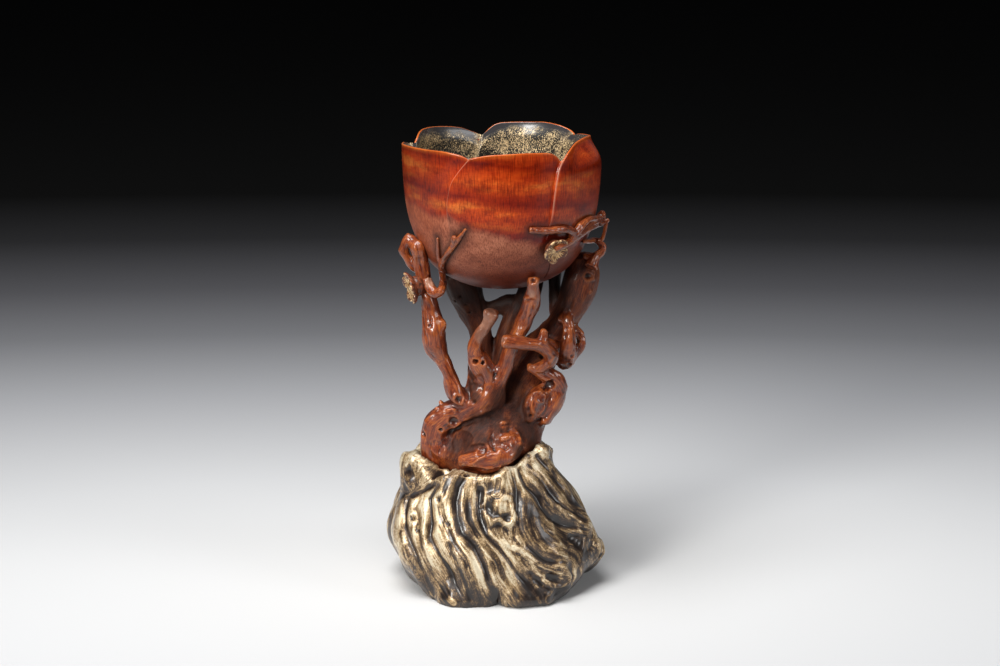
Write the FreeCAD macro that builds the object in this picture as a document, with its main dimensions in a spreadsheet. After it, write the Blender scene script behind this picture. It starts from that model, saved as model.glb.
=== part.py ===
import FreeCAD, Part
import math
import os

# A libation cup carved as an opening flower.  The cup stands on a gnarled root with bare
# twigs, knots and two plum blossoms, and the foot of the root stands in the socket of a
# separate rockwork stand, from which the whole cup lifts off.
# Frame: +Z up, the origin in the middle of the stand's flat foot, the front towards -Y.

doc = FreeCAD.newDocument("libation_cup")
sheet = doc.addObject("Spreadsheet::Sheet", "Sizes")

SIZES = {
    # the stand
    "stand_width": 97.0,
    "stand_depth": 88.0,
    "stand_height": 60.0,
    "seat_height": 46.0,
    "brow_rise": 7.0,
    "brow_reach": 29.0,
    "socket_clearance": 0.4,
    # the root and its limbs: height from the seat to the cup, reach at the foot, and the
    # radius of each limb at its thickest
    "stem_height": 86.0,
    "foot_spread": 26.0,
    "trunk_radius": 22.0,
    "left_root_radius": 5.8,
    "fork_radius": 5.6,
    "stub_radius": 4.1,
    "left_branch_radius": 5.2,
    "crook_radius": 2.2,
    "thorn_radius": 2.2,
    "back_left_radius": 7.5,
    "back_mid_radius": 5.3,
    "bridge_radius": 4.0,
    "prong_radius": 3.5,
    "knot_loop_radius": 3.8,
    "knot_strand_radius": 2.2,
    "curl_radius": 3.0,
    "curl_root_radius": 3.1,
    "side_limb_radius": 3.9,
    "stump_radius": 3.8,
    "burr_radius": 5.0,
    # the twigs and blossoms on the cup
    "left_twig_radius": 2.6,
    "spur_radius": 0.9,
    "right_twig_radius": 1.7,
    "hook_twig_radius": 2.6,
    "bud_radius": 2.4,
    "left_petal_radius": 3.4,
    "right_petal_radius": 2.4,
    "blossom_thickness": 1.8,
    "stalk_radius": 1.6,
    "stalk_length": 6.0,
    "stamen_radius": 0.35,
    "stamen_length": 1.0,
    # the cup
    "cup_radius": 43.0,
    "cup_height": 64.5,
    "cup_rise": 1.8,
    "cup_shift": 2.0,
    "cup_wall": 3.0,
    "cup_floor": 6.0,
    "lining_thickness": 0.8,
    "notch_depth": 5.5,
    "notch_width": 17.0,
    "peg_radius": 1.2,
    "peg_length": 7.0,
    # fits
    "glue_gap": 0.1,
    "cut_overrun": 2.0,
}

for row, (name, value) in enumerate(SIZES.items(), start=1):
    sheet.set(f"A{row}", name)
    sheet.set(f"B{row}", str(value))
    sheet.setAlias(f"B{row}", name)
doc.recompute()


def size(name):
    return float(sheet.get(name))


def bind(item, **expressions):
    for prop, expression in expressions.items():
        item.setExpression(prop.replace("__", "."), expression)


# The root leans outwards as it rises, so a place on it is given as shares: sideways and
# backwards of the reach at that height, and upwards of the height from the seat to the cup.
def on_stem(x_share, y_share, z_share):
    reach = f"(Sizes.foot_spread + (Sizes.cup_radius - Sizes.foot_spread) * ({z_share}))"
    return (
        f"{reach} * ({x_share})",
        f"{reach} * ({y_share})",
        f"Sizes.seat_height + Sizes.stem_height * ({z_share})",
    )


# The outline of the cup from the middle of its bottom to its rim: radius and height.
CUP_BOTTOM = "Sizes.seat_height + Sizes.stem_height + Sizes.cup_rise"
BOWL_SHARES = (
    (0.00, 0.00), (0.33, 0.02), (0.60, 0.10), (0.77, 0.21),
    (0.88, 0.36), (0.95, 0.53), (0.985, 0.74), (1.00, 1.00),
)


def bowl_share(height_share):
    for (low_radius, low), (high_radius, high) in zip(BOWL_SHARES, BOWL_SHARES[1:]):
        if height_share <= high:
            part = (height_share - low) / (high - low)
            return low_radius + (high_radius - low_radius) * part
    return 1.0


# A place on the cup's wall: the angle about the cup in degrees, seen from above and counted
# from the right, the share of the cup's height, and how many limb radii its middle stands off.
def on_cup(limb, angle, height_share, lift_share=0.9):
    out = f"(Sizes.cup_radius * {bowl_share(height_share):.4f} + Sizes.{limb} * {lift_share})"
    return (
        f"Sizes.cup_shift + {out} * cos({angle})",
        f"{out} * sin({angle})",
        f"{CUP_BOTTOM} + Sizes.cup_height * ({height_share})",
    )


# One ring of a limb: a circle whose place and radius follow the named sizes.
def ring(name, place, radius):
    circle = doc.addObject("Part::Circle", name)
    x, y, z = place
    bind(circle, Placement__Base__x=x, Placement__Base__y=y, Placement__Base__z=z, Radius=radius)
    circle.recompute()
    return circle


# Rings along a limb, each turned square to the way the limb runs there and larger than the
# limb by a number of glue gaps.  The first ring of a foot stays level.
def rings(name, radius, places, thick_shares, gap, level_foot):
    circles = [
        ring(f"{name}_ring_{turn}", place, f"Sizes.{radius} * {share} + Sizes.glue_gap * {gap}")
        for turn, (place, share) in enumerate(zip(places, thick_shares))
    ]
    middles = [circle.Placement.Base for circle in circles]
    heading = FreeCAD.Vector(0, 0, 1)
    rotation = FreeCAD.Rotation()
    for turn, circle in enumerate(circles):
        before = middles[max(turn - 1, 0)]
        after = middles[min(turn + 1, len(middles) - 1)]
        along = (after - before).normalize()
        if level_foot and turn == 0:
            along = heading
        rotation = FreeCAD.Rotation(heading, along) * rotation
        circle.Placement = FreeCAD.Placement(circle.Placement.Base, rotation)
        heading = along
    return circles


def loft(name, sections):
    solid = doc.addObject("Part::Loft", name)
    solid.Sections = sections
    solid.Solid = True
    solid.Ruled = False
    return solid


# A limb is a loft along its rings, and its socket in another limb is the same loft with the
# glue gap all round.
LIMBS = {}
SOCKETS = {}


def limb(name, radius, places, thick_shares, level_foot=False):
    for kind, gap, forms in (("form", 0, LIMBS), ("socket", 1, SOCKETS)):
        circles = rings(f"{name}_{kind}", radius, places, thick_shares, gap, level_foot)
        forms[name] = loft(f"{name}_{kind}", circles)


# A limb of the root, which may run on over the wall of the cup.
def root_limb(name, radius, place_shares, thick_shares, wall_shares=(), level_foot=False):
    places = [on_stem(*place) for place in place_shares]
    places += [on_cup(radius, *station) for station in wall_shares]
    limb(name, radius, places, thick_shares, level_foot)


def cut(name, base, tool):
    piece = doc.addObject("Part::Cut", name)
    piece.Base = base
    piece.Tool = tool
    return piece


# The trunk: the swollen foot of the root, and the limb that it runs on into, which bends to
# the right and carries the cup's right side.
root_limb(
    "root_trunk", "trunk_radius",
    place_shares=(
        (-0.30, -0.04, 0.00), (-0.25, -0.04, 0.09), (-0.11, 0.00, 0.20), (0.11, 0.00, 0.31),
        (0.29, 0.03, 0.41), (0.35, 0.06, 0.53), (0.46, 0.05, 0.64), (0.62, 0.03, 0.74),
        (0.72, 0.00, 0.84), (0.80, -0.02, 0.94), (0.83, -0.02, 1.02), (0.83, -0.02, 1.10),
        (0.78, -0.02, 1.18),
    ),
    thick_shares=(0.62, 0.86, 1.00, 0.86, 0.60, 0.50, 0.42, 0.34, 0.28, 0.32, 0.36, 0.32, 0.28),
    level_foot=True,
)

# The left root: it leaves the foot, rises and arches over to the right.
root_limb(
    "left_root", "left_root_radius",
    place_shares=(
        (-0.95, -0.22, 0.00), (-0.96, -0.28, 0.15), (-0.92, -0.30, 0.24), (-0.81, -0.32, 0.33),
        (-0.64, -0.34, 0.38), (-0.52, -0.34, 0.39),
    ),
    thick_shares=(0.92, 1.00, 1.00, 1.00, 0.95, 0.90),
    level_foot=True,
)

# The fork limb: it grows from the arch of the left root and rises to the cup's front.
root_limb(
    "fork_limb", "fork_radius",
    place_shares=(
        (-0.62, -0.34, 0.38), (-0.39, -0.37, 0.40), (-0.20, -0.42, 0.45), (-0.05, -0.43, 0.53),
        (0.07, -0.44, 0.62), (0.13, -0.45, 0.71), (0.20, -0.46, 0.79), (0.28, -0.46, 0.88),
        (0.34, -0.50, 0.98), (0.35, -0.57, 1.05), (0.35, -0.61, 1.13),
    ),
    thick_shares=(0.62, 0.93, 1.00, 0.82, 0.56, 0.54, 0.57, 0.61, 0.64, 0.52, 0.52),
)

# The sawn stub that leaves the fork limb to the left.
root_limb(
    "fork_stub", "stub_radius",
    place_shares=(
        (-0.05, -0.43, 0.53), (-0.13, -0.44, 0.60), (-0.21, -0.45, 0.67), (-0.25, -0.46, 0.73),
        (-0.18, -0.46, 0.82), (-0.09, -0.47, 0.94),
    ),
    thick_shares=(0.70, 0.88, 1.00, 0.76, 0.66, 0.68),
)

# The left branch: a thin limb that stands free at the left, up to the side of the cup.
root_limb(
    "left_branch", "left_branch_radius",
    place_shares=(
        (-0.48, -0.40, 0.40), (-0.49, -0.42, 0.47), (-0.55, -0.39, 0.56), (-0.63, -0.36, 0.67),
        (-0.70, -0.34, 0.75), (-0.69, -0.33, 0.82), (-0.69, -0.30, 0.91), (-0.70, -0.28, 1.02),
        (-0.71, -0.26, 1.12), (-0.71, -0.26, 1.20), (-0.74, -0.25, 1.28),
    ),
    thick_shares=(0.50, 0.70, 0.64, 0.68, 1.00, 0.96, 0.72, 0.60, 0.56, 0.62, 0.62),
)

# The crook: the tip of the left branch turns over and comes back to it.
root_limb(
    "left_crook", "crook_radius",
    place_shares=(
        (-0.74, -0.23, 1.275), (-0.81, -0.22, 1.28), (-0.86, -0.22, 1.24), (-0.86, -0.22, 1.20),
        (-0.82, -0.22, 1.155), (-0.73, -0.24, 1.13),
    ),
    thick_shares=(0.90, 1.00, 0.90, 0.90, 1.00, 0.90),
)

# A broken side shoot on the left branch.
root_limb(
    "branch_thorn", "thorn_radius",
    place_shares=((-0.69, -0.35, 0.79), (-0.62, -0.38, 0.83), (-0.57, -0.39, 0.88)),
    thick_shares=(1.00, 1.00, 0.70),
)

# The back left limb: it leaves the trunk's shoulder and carries the cup at the back left.
root_limb(
    "back_left_limb", "back_left_radius",
    place_shares=(
        (0.02, 0.15, 0.30), (-0.14, 0.24, 0.37), (-0.20, 0.26, 0.50), (-0.20, 0.27, 0.63),
        (-0.19, 0.26, 0.73), (-0.25, 0.25, 0.84), (-0.32, 0.21, 0.94), (-0.38, 0.16, 1.03),
        (-0.41, 0.13, 1.09),
    ),
    thick_shares=(0.85, 1.00, 0.82, 0.69, 0.65, 0.76, 0.95, 1.00, 0.93),
)

# The back middle limb: it carries the cup's bottom behind the middle.
root_limb(
    "back_mid_limb", "back_mid_radius",
    place_shares=(
        (0.09, 0.20, 0.46), (0.07, 0.23, 0.54), (0.10, 0.24, 0.65), (0.15, 0.26, 0.75),
        (0.24, 0.25, 0.85), (0.32, 0.21, 0.94), (0.36, 0.18, 1.04),
    ),
    thick_shares=(0.90, 1.00, 1.00, 1.00, 1.00, 1.00, 0.92),
)

# The bridge: a knotted bar grown across between the two back limbs.
root_limb(
    "back_bridge", "bridge_radius",
    place_shares=((-0.22, 0.27, 0.88), (-0.05, 0.27, 0.87), (0.08, 0.27, 0.89), (0.21, 0.27, 0.90)),
    thick_shares=(0.88, 0.73, 1.00, 0.90),
)

# The prong: a thin limb from the back of the right limb to the cup's bottom.
root_limb(
    "right_prong", "prong_radius",
    place_shares=((0.68, 0.12, 0.82), (0.62, 0.19, 0.92), (0.59, 0.21, 1.00), (0.58, 0.22, 1.08)),
    thick_shares=(1.00, 0.89, 0.75, 0.75),
)

# The knot at the right: a thick loop down the side of the right limb, and a thin strand
# outside it.
root_limb(
    "knot_loop", "knot_loop_radius",
    place_shares=(
        (0.69, -0.14, 0.86), (0.76, -0.21, 0.86), (0.79, -0.25, 0.80), (0.80, -0.24, 0.72),
        (0.82, -0.14, 0.66), (0.78, -0.05, 0.60),
    ),
    thick_shares=(0.58, 0.60, 0.68, 0.92, 1.00, 0.62),
)
root_limb(
    "knot_strand", "knot_strand_radius",
    place_shares=(
        (0.76, -0.08, 0.82), (0.88, -0.12, 0.79), (0.95, -0.13, 0.75), (0.94, -0.13, 0.70),
        (0.88, -0.14, 0.66),
    ),
    thick_shares=(0.80, 1.00, 1.00, 1.00, 0.95),
)

# The side limb: it hangs as a loop at the right of the trunk, and its upper tip is a hook.
root_limb(
    "side_limb", "side_limb_radius",
    place_shares=(
        (0.36, -0.40, 0.64), (0.50, -0.38, 0.61), (0.64, -0.33, 0.58), (0.76, -0.28, 0.54),
        (0.79, -0.26, 0.48), (0.72, -0.27, 0.41), (0.63, -0.28, 0.33),
    ),
    thick_shares=(0.44, 0.67, 0.90, 0.90, 0.90, 1.00, 0.90),
)

# The curled branch: it lies across the front of the fork limb, turns down, and its tip
# meets the hook of the side limb.
root_limb(
    "curled_branch", "curl_radius",
    place_shares=(
        (0.06, -0.66, 0.80), (0.25, -0.64, 0.79), (0.44, -0.58, 0.77), (0.56, -0.50, 0.74),
        (0.62, -0.45, 0.69), (0.57, -0.43, 0.65), (0.47, -0.42, 0.63),
    ),
    thick_shares=(0.92, 0.92, 0.92, 1.00, 1.00, 0.86, 0.70),
)
root_limb(
    "curl_root", "curl_root_radius",
    place_shares=((0.66, -0.10, 0.70), (0.60, -0.30, 0.73), (0.53, -0.47, 0.76)),
    thick_shares=(1.00, 1.00, 0.90),
)
root_limb(
    "curl_bud", "bud_radius",
    place_shares=((0.51, -0.53, 0.77), (0.50, -0.55, 0.81), (0.50, -0.55, 0.85)),
    thick_shares=(0.90, 1.00, 0.50),
)

# The knot stump: the healed end of a branch, curled round on the trunk's front.
root_limb(
    "knot_stump", "stump_radius",
    place_shares=(
        (0.62, -0.28, 0.51), (0.54, -0.36, 0.49), (0.48, -0.40, 0.46), (0.45, -0.43, 0.40),
        (0.44, -0.45, 0.35),
    ),
    thick_shares=(0.70, 0.92, 1.00, 0.85, 0.55),
)

# The root burr: a swirl of growth low on the front of the foot.
root_limb(
    "root_burr", "burr_radius",
    place_shares=(
        (-0.55, -0.68, 0.155), (-0.30, -0.75, 0.165), (0.05, -0.74, 0.185), (0.22, -0.66, 0.23),
        (0.10, -0.62, 0.29),
    ),
    thick_shares=(0.60, 0.90, 1.00, 0.85, 0.60),
)

# The left twig: it leaves the left branch, turns under and climbs the cup's wall.
root_limb(
    "left_twig", "left_twig_radius",
    place_shares=(
        (-0.72, -0.30, 1.06), (-0.66, -0.38, 1.03), (-0.59, -0.45, 1.02), (-0.53, -0.50, 1.06),
    ),
    wall_shares=(
        (219, 0.16, 0.62), (221, 0.24, 0.62), (230, 0.32, 0.55), (239, 0.395, 0.45),
        (248, 0.475, 0.25),
    ),
    thick_shares=(0.95, 1.00, 0.85, 0.70, 0.60, 0.60, 0.52, 0.42, 0.22),
)


# A twig that lies on the wall of the cup.
def wall_twig(name, radius, wall_shares, thick_shares):
    limb(name, radius, [on_cup(radius, *station) for station in wall_shares], thick_shares)


wall_twig(
    "twig_spur", "spur_radius",
    wall_shares=((221, 0.26), (224, 0.345), (226, 0.42)),
    thick_shares=(1.00, 0.85, 0.60),
)


# The right twigs: three thin twigs side by side on the cup's wall, a link down from their
# ends, and a hook of wood that joins them to the head of the right limb.
wall_twig(
    "upper_twig", "right_twig_radius",
    wall_shares=(
        (288, 0.50), (297, 0.495), (307, 0.48), (315, 0.455), (316, 0.41), (311, 0.37), (307, 0.355),
    ),
    thick_shares=(0.85, 0.90, 0.95, 1.00, 1.00, 1.00, 0.90),
)
wall_twig(
    "middle_twig", "right_twig_radius",
    wall_shares=(
        (318, 0.465, 1.0), (323, 0.485, 1.0), (332, 0.505, 1.0), (341, 0.505, 2.0), (348, 0.50, 2.6),
    ),
    thick_shares=(0.80, 0.90, 0.90, 0.90, 0.90),
)
wall_twig(
    "lower_twig", "right_twig_radius",
    wall_shares=((318, 0.415, 1.0), (327, 0.43, 1.0), (338, 0.445, 1.2), (347, 0.46, 2.4)),
    thick_shares=(0.80, 0.90, 0.90, 0.80),
)
wall_twig(
    "link_twig", "right_twig_radius",
    wall_shares=((348, 0.495, 2.6), (348, 0.44, 2.3), (347, 0.37, 2.0), (346, 0.335, 2.0)),
    thick_shares=(0.66, 0.66, 0.66, 0.66),
)
root_limb(
    "hook_twig", "hook_twig_radius",
    place_shares=((0.76, -0.06, 1.14), (0.86, -0.10, 1.18)),
    wall_shares=((350, 0.27, 2.0), (347, 0.32, 1.9), (341, 0.35, 1.2), (333, 0.355, 0.7)),
    thick_shares=(0.90, 0.75, 0.62, 0.60, 0.55, 0.45),
)
wall_twig(
    "twig_bud", "bud_radius",
    wall_shares=((341, 0.51, 1.3), (343, 0.535, 1.5), (344, 0.565, 1.6)),
    thick_shares=(0.60, 0.80, 0.40),
)


# A blossom: five round petals on a short stalk, and a ring of stamens standing on them.
# It lies in its own plane with the stalk behind, and is turned to face along a direction.
PETALS = 5
STAMENS = 8
PETAL_REACH_SHARE = 1.05
STAMEN_REACH_SHARE = 0.62


def blossom(name, petal_radius, place, facing, stalk):
    turned = FreeCAD.Rotation(FreeCAD.Vector(0, 0, 1), facing)
    rounds = []
    for petal in range(PETALS):
        angle = petal * 360 / PETALS
        leaf = doc.addObject("Part::Cylinder", f"{name}_petal_{petal}")
        bind(
            leaf,
            Radius=f"Sizes.{petal_radius}",
            Height="Sizes.blossom_thickness",
            Placement__Base__x=f"Sizes.{petal_radius} * {PETAL_REACH_SHARE} * cos({angle})",
            Placement__Base__y=f"Sizes.{petal_radius} * {PETAL_REACH_SHARE} * sin({angle})",
        )
        rounds.append(leaf)
    stem = doc.addObject("Part::Cylinder", f"{name}_stem")
    bind(
        stem,
        Radius="Sizes.stalk_radius",
        Height=f"Sizes.blossom_thickness + {stalk}",
        Placement__Base__z=f"-({stalk})",
    )
    rounds.append(stem)
    flower = doc.addObject("Part::MultiFuse", f"{name}_form")
    flower.Shapes = rounds
    pins = []
    for stamen in range(STAMENS):
        angle = stamen * 360 / STAMENS
        pin = doc.addObject("Part::Cylinder", f"{name}_stamen_{stamen}")
        bind(
            pin,
            Radius="Sizes.stamen_radius",
            Height="Sizes.stamen_length",
            Placement__Base__x=f"Sizes.{petal_radius} * {STAMEN_REACH_SHARE} * cos({angle})",
            Placement__Base__y=f"Sizes.{petal_radius} * {STAMEN_REACH_SHARE} * sin({angle})",
            Placement__Base__z="Sizes.blossom_thickness",
        )
        pins.append(pin)
    stamens = doc.addObject("Part::Compound", f"{name}_stamens")
    stamens.Links = pins
    x, y, z = place
    for item in (flower, stamens):
        item.Placement = FreeCAD.Placement(FreeCAD.Vector(), turned)
        bind(item, Placement__Base__x=x, Placement__Base__y=y, Placement__Base__z=z)
    return flower, stamens


left_flower, left_stamens = blossom(
    "left_blossom", "left_petal_radius", on_stem(-0.83, -0.22, 1.035),
    FreeCAD.Vector(-0.85, -0.50, 0.05), "Sizes.stalk_length",
)
RIGHT_ANGLE = 302
right_flower, right_stamens = blossom(
    "right_blossom", "right_petal_radius",
    on_cup("blossom_thickness", RIGHT_ANGLE, 0.355, 0.1),
    FreeCAD.Vector(math.cos(math.radians(RIGHT_ANGLE)), math.sin(math.radians(RIGHT_ANGLE)), -0.35),
    "Sizes.glue_gap",
)


# A bowl-shaped block turned about the cup's axis, smaller than the cup's outside by an inset
# and with its bottom raised by a rise.
def bowl(name, inset, rise, top):
    radius = size("cup_radius") - inset
    bottom = size("seat_height") + size("stem_height") + size("cup_rise") + rise
    height = size("cup_height") - rise
    points = [
        FreeCAD.Vector(radius * radius_share, 0, bottom + height * height_share)
        for radius_share, height_share in BOWL_SHARES
    ]
    outline = Part.BSplineCurve()
    outline.interpolate(
        Points=points, InitialTangent=FreeCAD.Vector(1, 0, 0), FinalTangent=FreeCAD.Vector(0, 0, 1)
    )
    lip = FreeCAD.Vector(radius, 0, points[-1].z + top)
    axis_top = FreeCAD.Vector(0, 0, lip.z)
    edges = [outline.toShape()]
    if top > 0:
        edges.append(Part.makeLine(points[-1], lip))
    edges.append(Part.makeLine(lip, axis_top))
    edges.append(Part.makeLine(axis_top, points[0]))
    face = doc.addObject("Part::Feature", f"{name}_outline")
    face.Shape = Part.Face(Part.Wire(edges))
    turned = doc.addObject("Part::Revolution", name)
    turned.Source = face
    turned.Axis = FreeCAD.Vector(0, 0, 1)
    turned.Angle = 360
    turned.Solid = True
    bind(turned, Placement__Base__x="Sizes.cup_shift")
    return turned


glue_gap = size("glue_gap")
cup_wall = size("cup_wall")
cup_floor = size("cup_floor")
lining = size("lining_thickness")
over = size("cut_overrun")
cup_block = bowl("cup_block", 0, 0, 0)
cup_room = bowl("cup_room", cup_wall, cup_floor, over)
cup_envelope = bowl("cup_envelope", -glue_gap, -glue_gap, over)
lining_block = bowl("lining_block", cup_wall + glue_gap, cup_floor + glue_gap, 0)
lining_room = bowl("lining_room", cup_wall + glue_gap + lining, cup_floor + glue_gap + lining, over)

# The rim is notched where two petals meet: a cusp with the round shoulder of a petal on
# each side of it.
NOTCH_ANGLES = (40, 103, 160, 245, 302)
NOTCH_CURVE_SHARES = (0.32, 0.36)


def notch(name, angle):
    depth = size("notch_depth")
    half = size("notch_width") / 2
    across, down = NOTCH_CURVE_SHARES
    cusp = FreeCAD.Vector(0, 0, -depth)
    sides = []
    for side in (-1, 1):
        bend = FreeCAD.Vector(0, side * half * across, -depth * down)
        shoulder = FreeCAD.Vector(0, side * half, 0)
        corner = FreeCAD.Vector(0, side * half, over)
        sides.append((Part.Arc(cusp, bend, shoulder).toShape(), shoulder, corner))
    (left_arc, left, left_top), (right_arc, right, right_top) = sides
    face = doc.addObject("Part::Feature", f"{name}_outline")
    face.Shape = Part.Face(Part.Wire([
        left_arc, Part.makeLine(left, left_top), Part.makeLine(left_top, right_top),
        Part.makeLine(right_top, right), right_arc,
    ]))
    wedge = doc.addObject("Part::Extrusion", name)
    wedge.Base = face
    wedge.Dir = FreeCAD.Vector(1, 0, 0)
    wedge.Solid = True
    wedge.Placement = FreeCAD.Placement(
        FreeCAD.Vector(), FreeCAD.Rotation(FreeCAD.Vector(0, 0, 1), angle)
    )
    bind(
        wedge,
        Placement__Base__x="Sizes.cup_shift",
        Placement__Base__z=f"{CUP_BOTTOM} + Sizes.cup_height",
        LengthFwd="Sizes.cup_radius + Sizes.cut_overrun",
    )
    return wedge


notches = doc.addObject("Part::MultiFuse", "rim_notches")
notches.Shapes = [notch(f"rim_notch_{angle}", angle) for angle in NOTCH_ANGLES]

# The pegs that hold the cup down on its three inner limbs: half in the limb, half in the
# thick bottom of the cup.
PEG_PLACE_SHARES = {
    "back_mid_limb": (0.34, 0.18, 1.035),
    "back_left_limb": (-0.36, 0.14, 1.06),
    "fork_limb": (0.33, -0.53, 1.105),
}


def peg(name, shares, gap):
    pin = doc.addObject("Part::Cylinder", name)
    x, y, z = on_stem(*shares)
    bind(
        pin,
        Radius=f"Sizes.peg_radius + Sizes.glue_gap * {gap}",
        Height=f"Sizes.peg_length + 2 * Sizes.glue_gap * {gap}",
        Placement__Base__x=x,
        Placement__Base__y=y,
        Placement__Base__z=f"{z} - Sizes.peg_length / 2 - Sizes.glue_gap * {gap}",
    )
    return pin


pegs = doc.addObject("Part::Compound", "cup_pegs")
pegs.Links = [peg(f"peg_{host}", shares, 0) for host, shares in PEG_PLACE_SHARES.items()]
peg_holes = {host: peg(f"peg_hole_{host}", shares, 1) for host, shares in PEG_PLACE_SHARES.items()}


# The rockwork stand: a carved block whose ribs sweep round as they come down.  Each section
# is a lobed outline given by its height, its reach to the left and to the right, its half
# depth and how far its lobes are turned.
STAND_SECTION_SHARES = (
    (0.00, 0.40, 0.38, 0.49), (0.22, 0.49, 0.49, 0.51), (0.42, 0.52, 0.45, 0.49),
    (0.63, 0.475, 0.38, 0.42), (0.83, 0.45, 0.29, 0.355), (1.00, 0.425, 0.26, 0.32),
)
STAND_LOBE_SHARES = (
    1.00, 0.94, 0.99, 0.93, 1.00, 0.95, 0.91, 1.00, 0.98, 0.92, 1.00, 0.94, 0.98, 0.91, 1.00, 0.95,
)
STAND_SWEEP = -6.0


def stand_section(turn, height_share, left_share, right_share, depth_share):
    half_width = size("stand_width") * (left_share + right_share) / 2
    middle = size("stand_width") * (right_share - left_share) / 2
    half_depth = size("stand_depth") * depth_share
    height = size("stand_height") * height_share
    points = []
    for lobe, lobe_share in enumerate(STAND_LOBE_SHARES):
        angle = math.radians(lobe * 360 / len(STAND_LOBE_SHARES) + turn * STAND_SWEEP)
        across = middle + half_width * lobe_share * math.cos(angle)
        points.append(FreeCAD.Vector(across, half_depth * lobe_share * math.sin(angle), height))
    outline = Part.BSplineCurve()
    outline.interpolate(Points=points, PeriodicFlag=True)
    section = doc.addObject("Part::Feature", f"stand_section_{turn}")
    section.Shape = Part.Wire([outline.toShape()])
    return section


stand_block = loft(
    "stand_block",
    [stand_section(turn, *shares) for turn, shares in enumerate(STAND_SECTION_SHARES)],
)


# The socket in the stand: one well for the foot of the trunk and one for the left root, both
# wider towards the top, so that the root lifts straight out, and both with the level seat
# as their floor.
def well(name, radius, place_shares, wide_shares):
    circles = [
        ring(f"{name}_ring_{turn}", on_stem(*place), f"Sizes.{radius} * {share} + Sizes.socket_clearance")
        for turn, (place, share) in enumerate(zip(place_shares, wide_shares))
    ]
    return loft(name, circles)


trunk_well = well(
    "trunk_well", "trunk_radius",
    place_shares=((-0.28, -0.04, 0.00), (-0.14, -0.03, 0.07), (-0.08, -0.02, 0.24)),
    wide_shares=(0.68, 1.04, 1.13),
)
left_well = well(
    "left_well", "left_root_radius",
    place_shares=((-0.95, -0.22, 0.00), (-0.97, -0.26, 0.12), (-0.98, -0.28, 0.24)),
    wide_shares=(1.00, 1.52, 1.85),
)

# The brow: the top of the stand stands a little above the seat, and slopes, low in front and
# high behind.
BROW_TILT = 14.0
brow = doc.addObject("Part::Box", "brow")
brow.Placement = FreeCAD.Placement(
    FreeCAD.Vector(), FreeCAD.Rotation(FreeCAD.Vector(1, 0, 0), BROW_TILT)
)
bind(
    brow,
    Length="Sizes.stand_width * 2",
    Width="Sizes.stand_depth * 2",
    Height="Sizes.stand_height",
    Placement__Base__x="-Sizes.stand_width",
    Placement__Base__y="-Sizes.stand_depth",
    Placement__Base__z=(
        "Sizes.seat_height + Sizes.brow_rise"
        f" - (Sizes.stand_depth - Sizes.brow_reach) * tan({BROW_TILT})"
    ),
)


# What enters what: each limb is mortised for the limbs that grow from it.
MORTISES = {
    "root_trunk": (
        "left_root", "fork_limb", "back_left_limb", "back_mid_limb", "right_prong", "knot_loop",
        "knot_strand", "side_limb", "curl_root", "knot_stump", "root_burr", "hook_twig",
    ),
    "left_root": ("fork_limb", "left_branch"),
    "fork_limb": ("fork_stub", "left_branch"),
    "left_branch": ("left_crook", "branch_thorn", "left_twig"),
    "back_left_limb": ("back_bridge", "back_mid_limb"),
    "back_mid_limb": ("back_bridge",),
    "knot_loop": ("knot_strand", "curl_root"),
    "side_limb": ("curled_branch", "knot_stump"),
    "curled_branch": ("curl_root", "curl_bud"),
    "curl_root": ("curl_bud",),
    "left_twig": ("twig_spur",),
    "upper_twig": ("middle_twig", "lower_twig"),
    "middle_twig": ("link_twig", "lower_twig"),
    "link_twig": ("hook_twig", "lower_twig"),
    "twig_bud": ("middle_twig",),
}
COPED = (
    "root_trunk", "fork_limb", "back_left_limb", "back_mid_limb", "right_prong", "left_branch",
    "left_crook", "left_twig", "twig_spur", "upper_twig", "middle_twig", "lower_twig",
    "link_twig", "hook_twig", "twig_bud",
)

PIECES = {}
for name, form in LIMBS.items():
    piece = form
    for guest in MORTISES.get(name, ()):
        piece = cut(f"{name}_for_{guest}", piece, SOCKETS[guest])
    if name in COPED:
        piece = cut(f"{name}_coped", piece, cup_envelope)
    if name in peg_holes:
        piece = cut(f"{name}_drilled", piece, peg_holes[name])
    PIECES[name] = piece

rock = cut("stand_browed", stand_block, brow)
rock = cut("stand_trunk_well", rock, trunk_well)
PIECES["rock_stand"] = cut("stand_left_well", rock, left_well)

shell = cut("cup_shell", cup_block, cup_room)
shell = cut("cup_notched", shell, notches)
for host, hole in peg_holes.items():
    shell = cut(f"cup_drilled_{host}", shell, hole)
PIECES["petal_cup"] = shell
liner = cut("lining_shell", lining_block, lining_room)
PIECES["cup_lining"] = cut("lining_notched", liner, notches)
PIECES["cup_pegs"] = pegs
for host in ("left_branch", "left_twig", "left_crook"):
    left_flower = cut(f"left_blossom_by_{host}", left_flower, SOCKETS[host])
PIECES["left_blossom"] = left_flower
PIECES["left_stamens"] = left_stamens
seated = cut("right_blossom_coped", right_flower, cup_envelope)
PIECES["right_blossom"] = cut("right_blossom_seated", seated, SOCKETS["upper_twig"])
PIECES["right_stamens"] = right_stamens

for name, piece in PIECES.items():
    piece.Label = name

doc.recompute()
for item in doc.Objects:
    if "Invalid" in item.State or "Error" in item.State:
        raise RuntimeError(f"{item.Name} could not be built")
for name, piece in PIECES.items():
    if piece.Shape.isNull() or not piece.Shape.isValid():
        raise RuntimeError(f"{name} is not a valid solid")

os.makedirs("parts", exist_ok=True)
for name, piece in PIECES.items():
    piece.Shape.exportStep(f"parts/{name}.step")
    print(name, len(piece.Shape.Solids), round(piece.Shape.Volume, 1))
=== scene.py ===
import math

import bmesh
import bpy
import numpy as np
from mathutils import Matrix, Vector, noise
from mathutils.bvhtree import BVHTree


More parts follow.
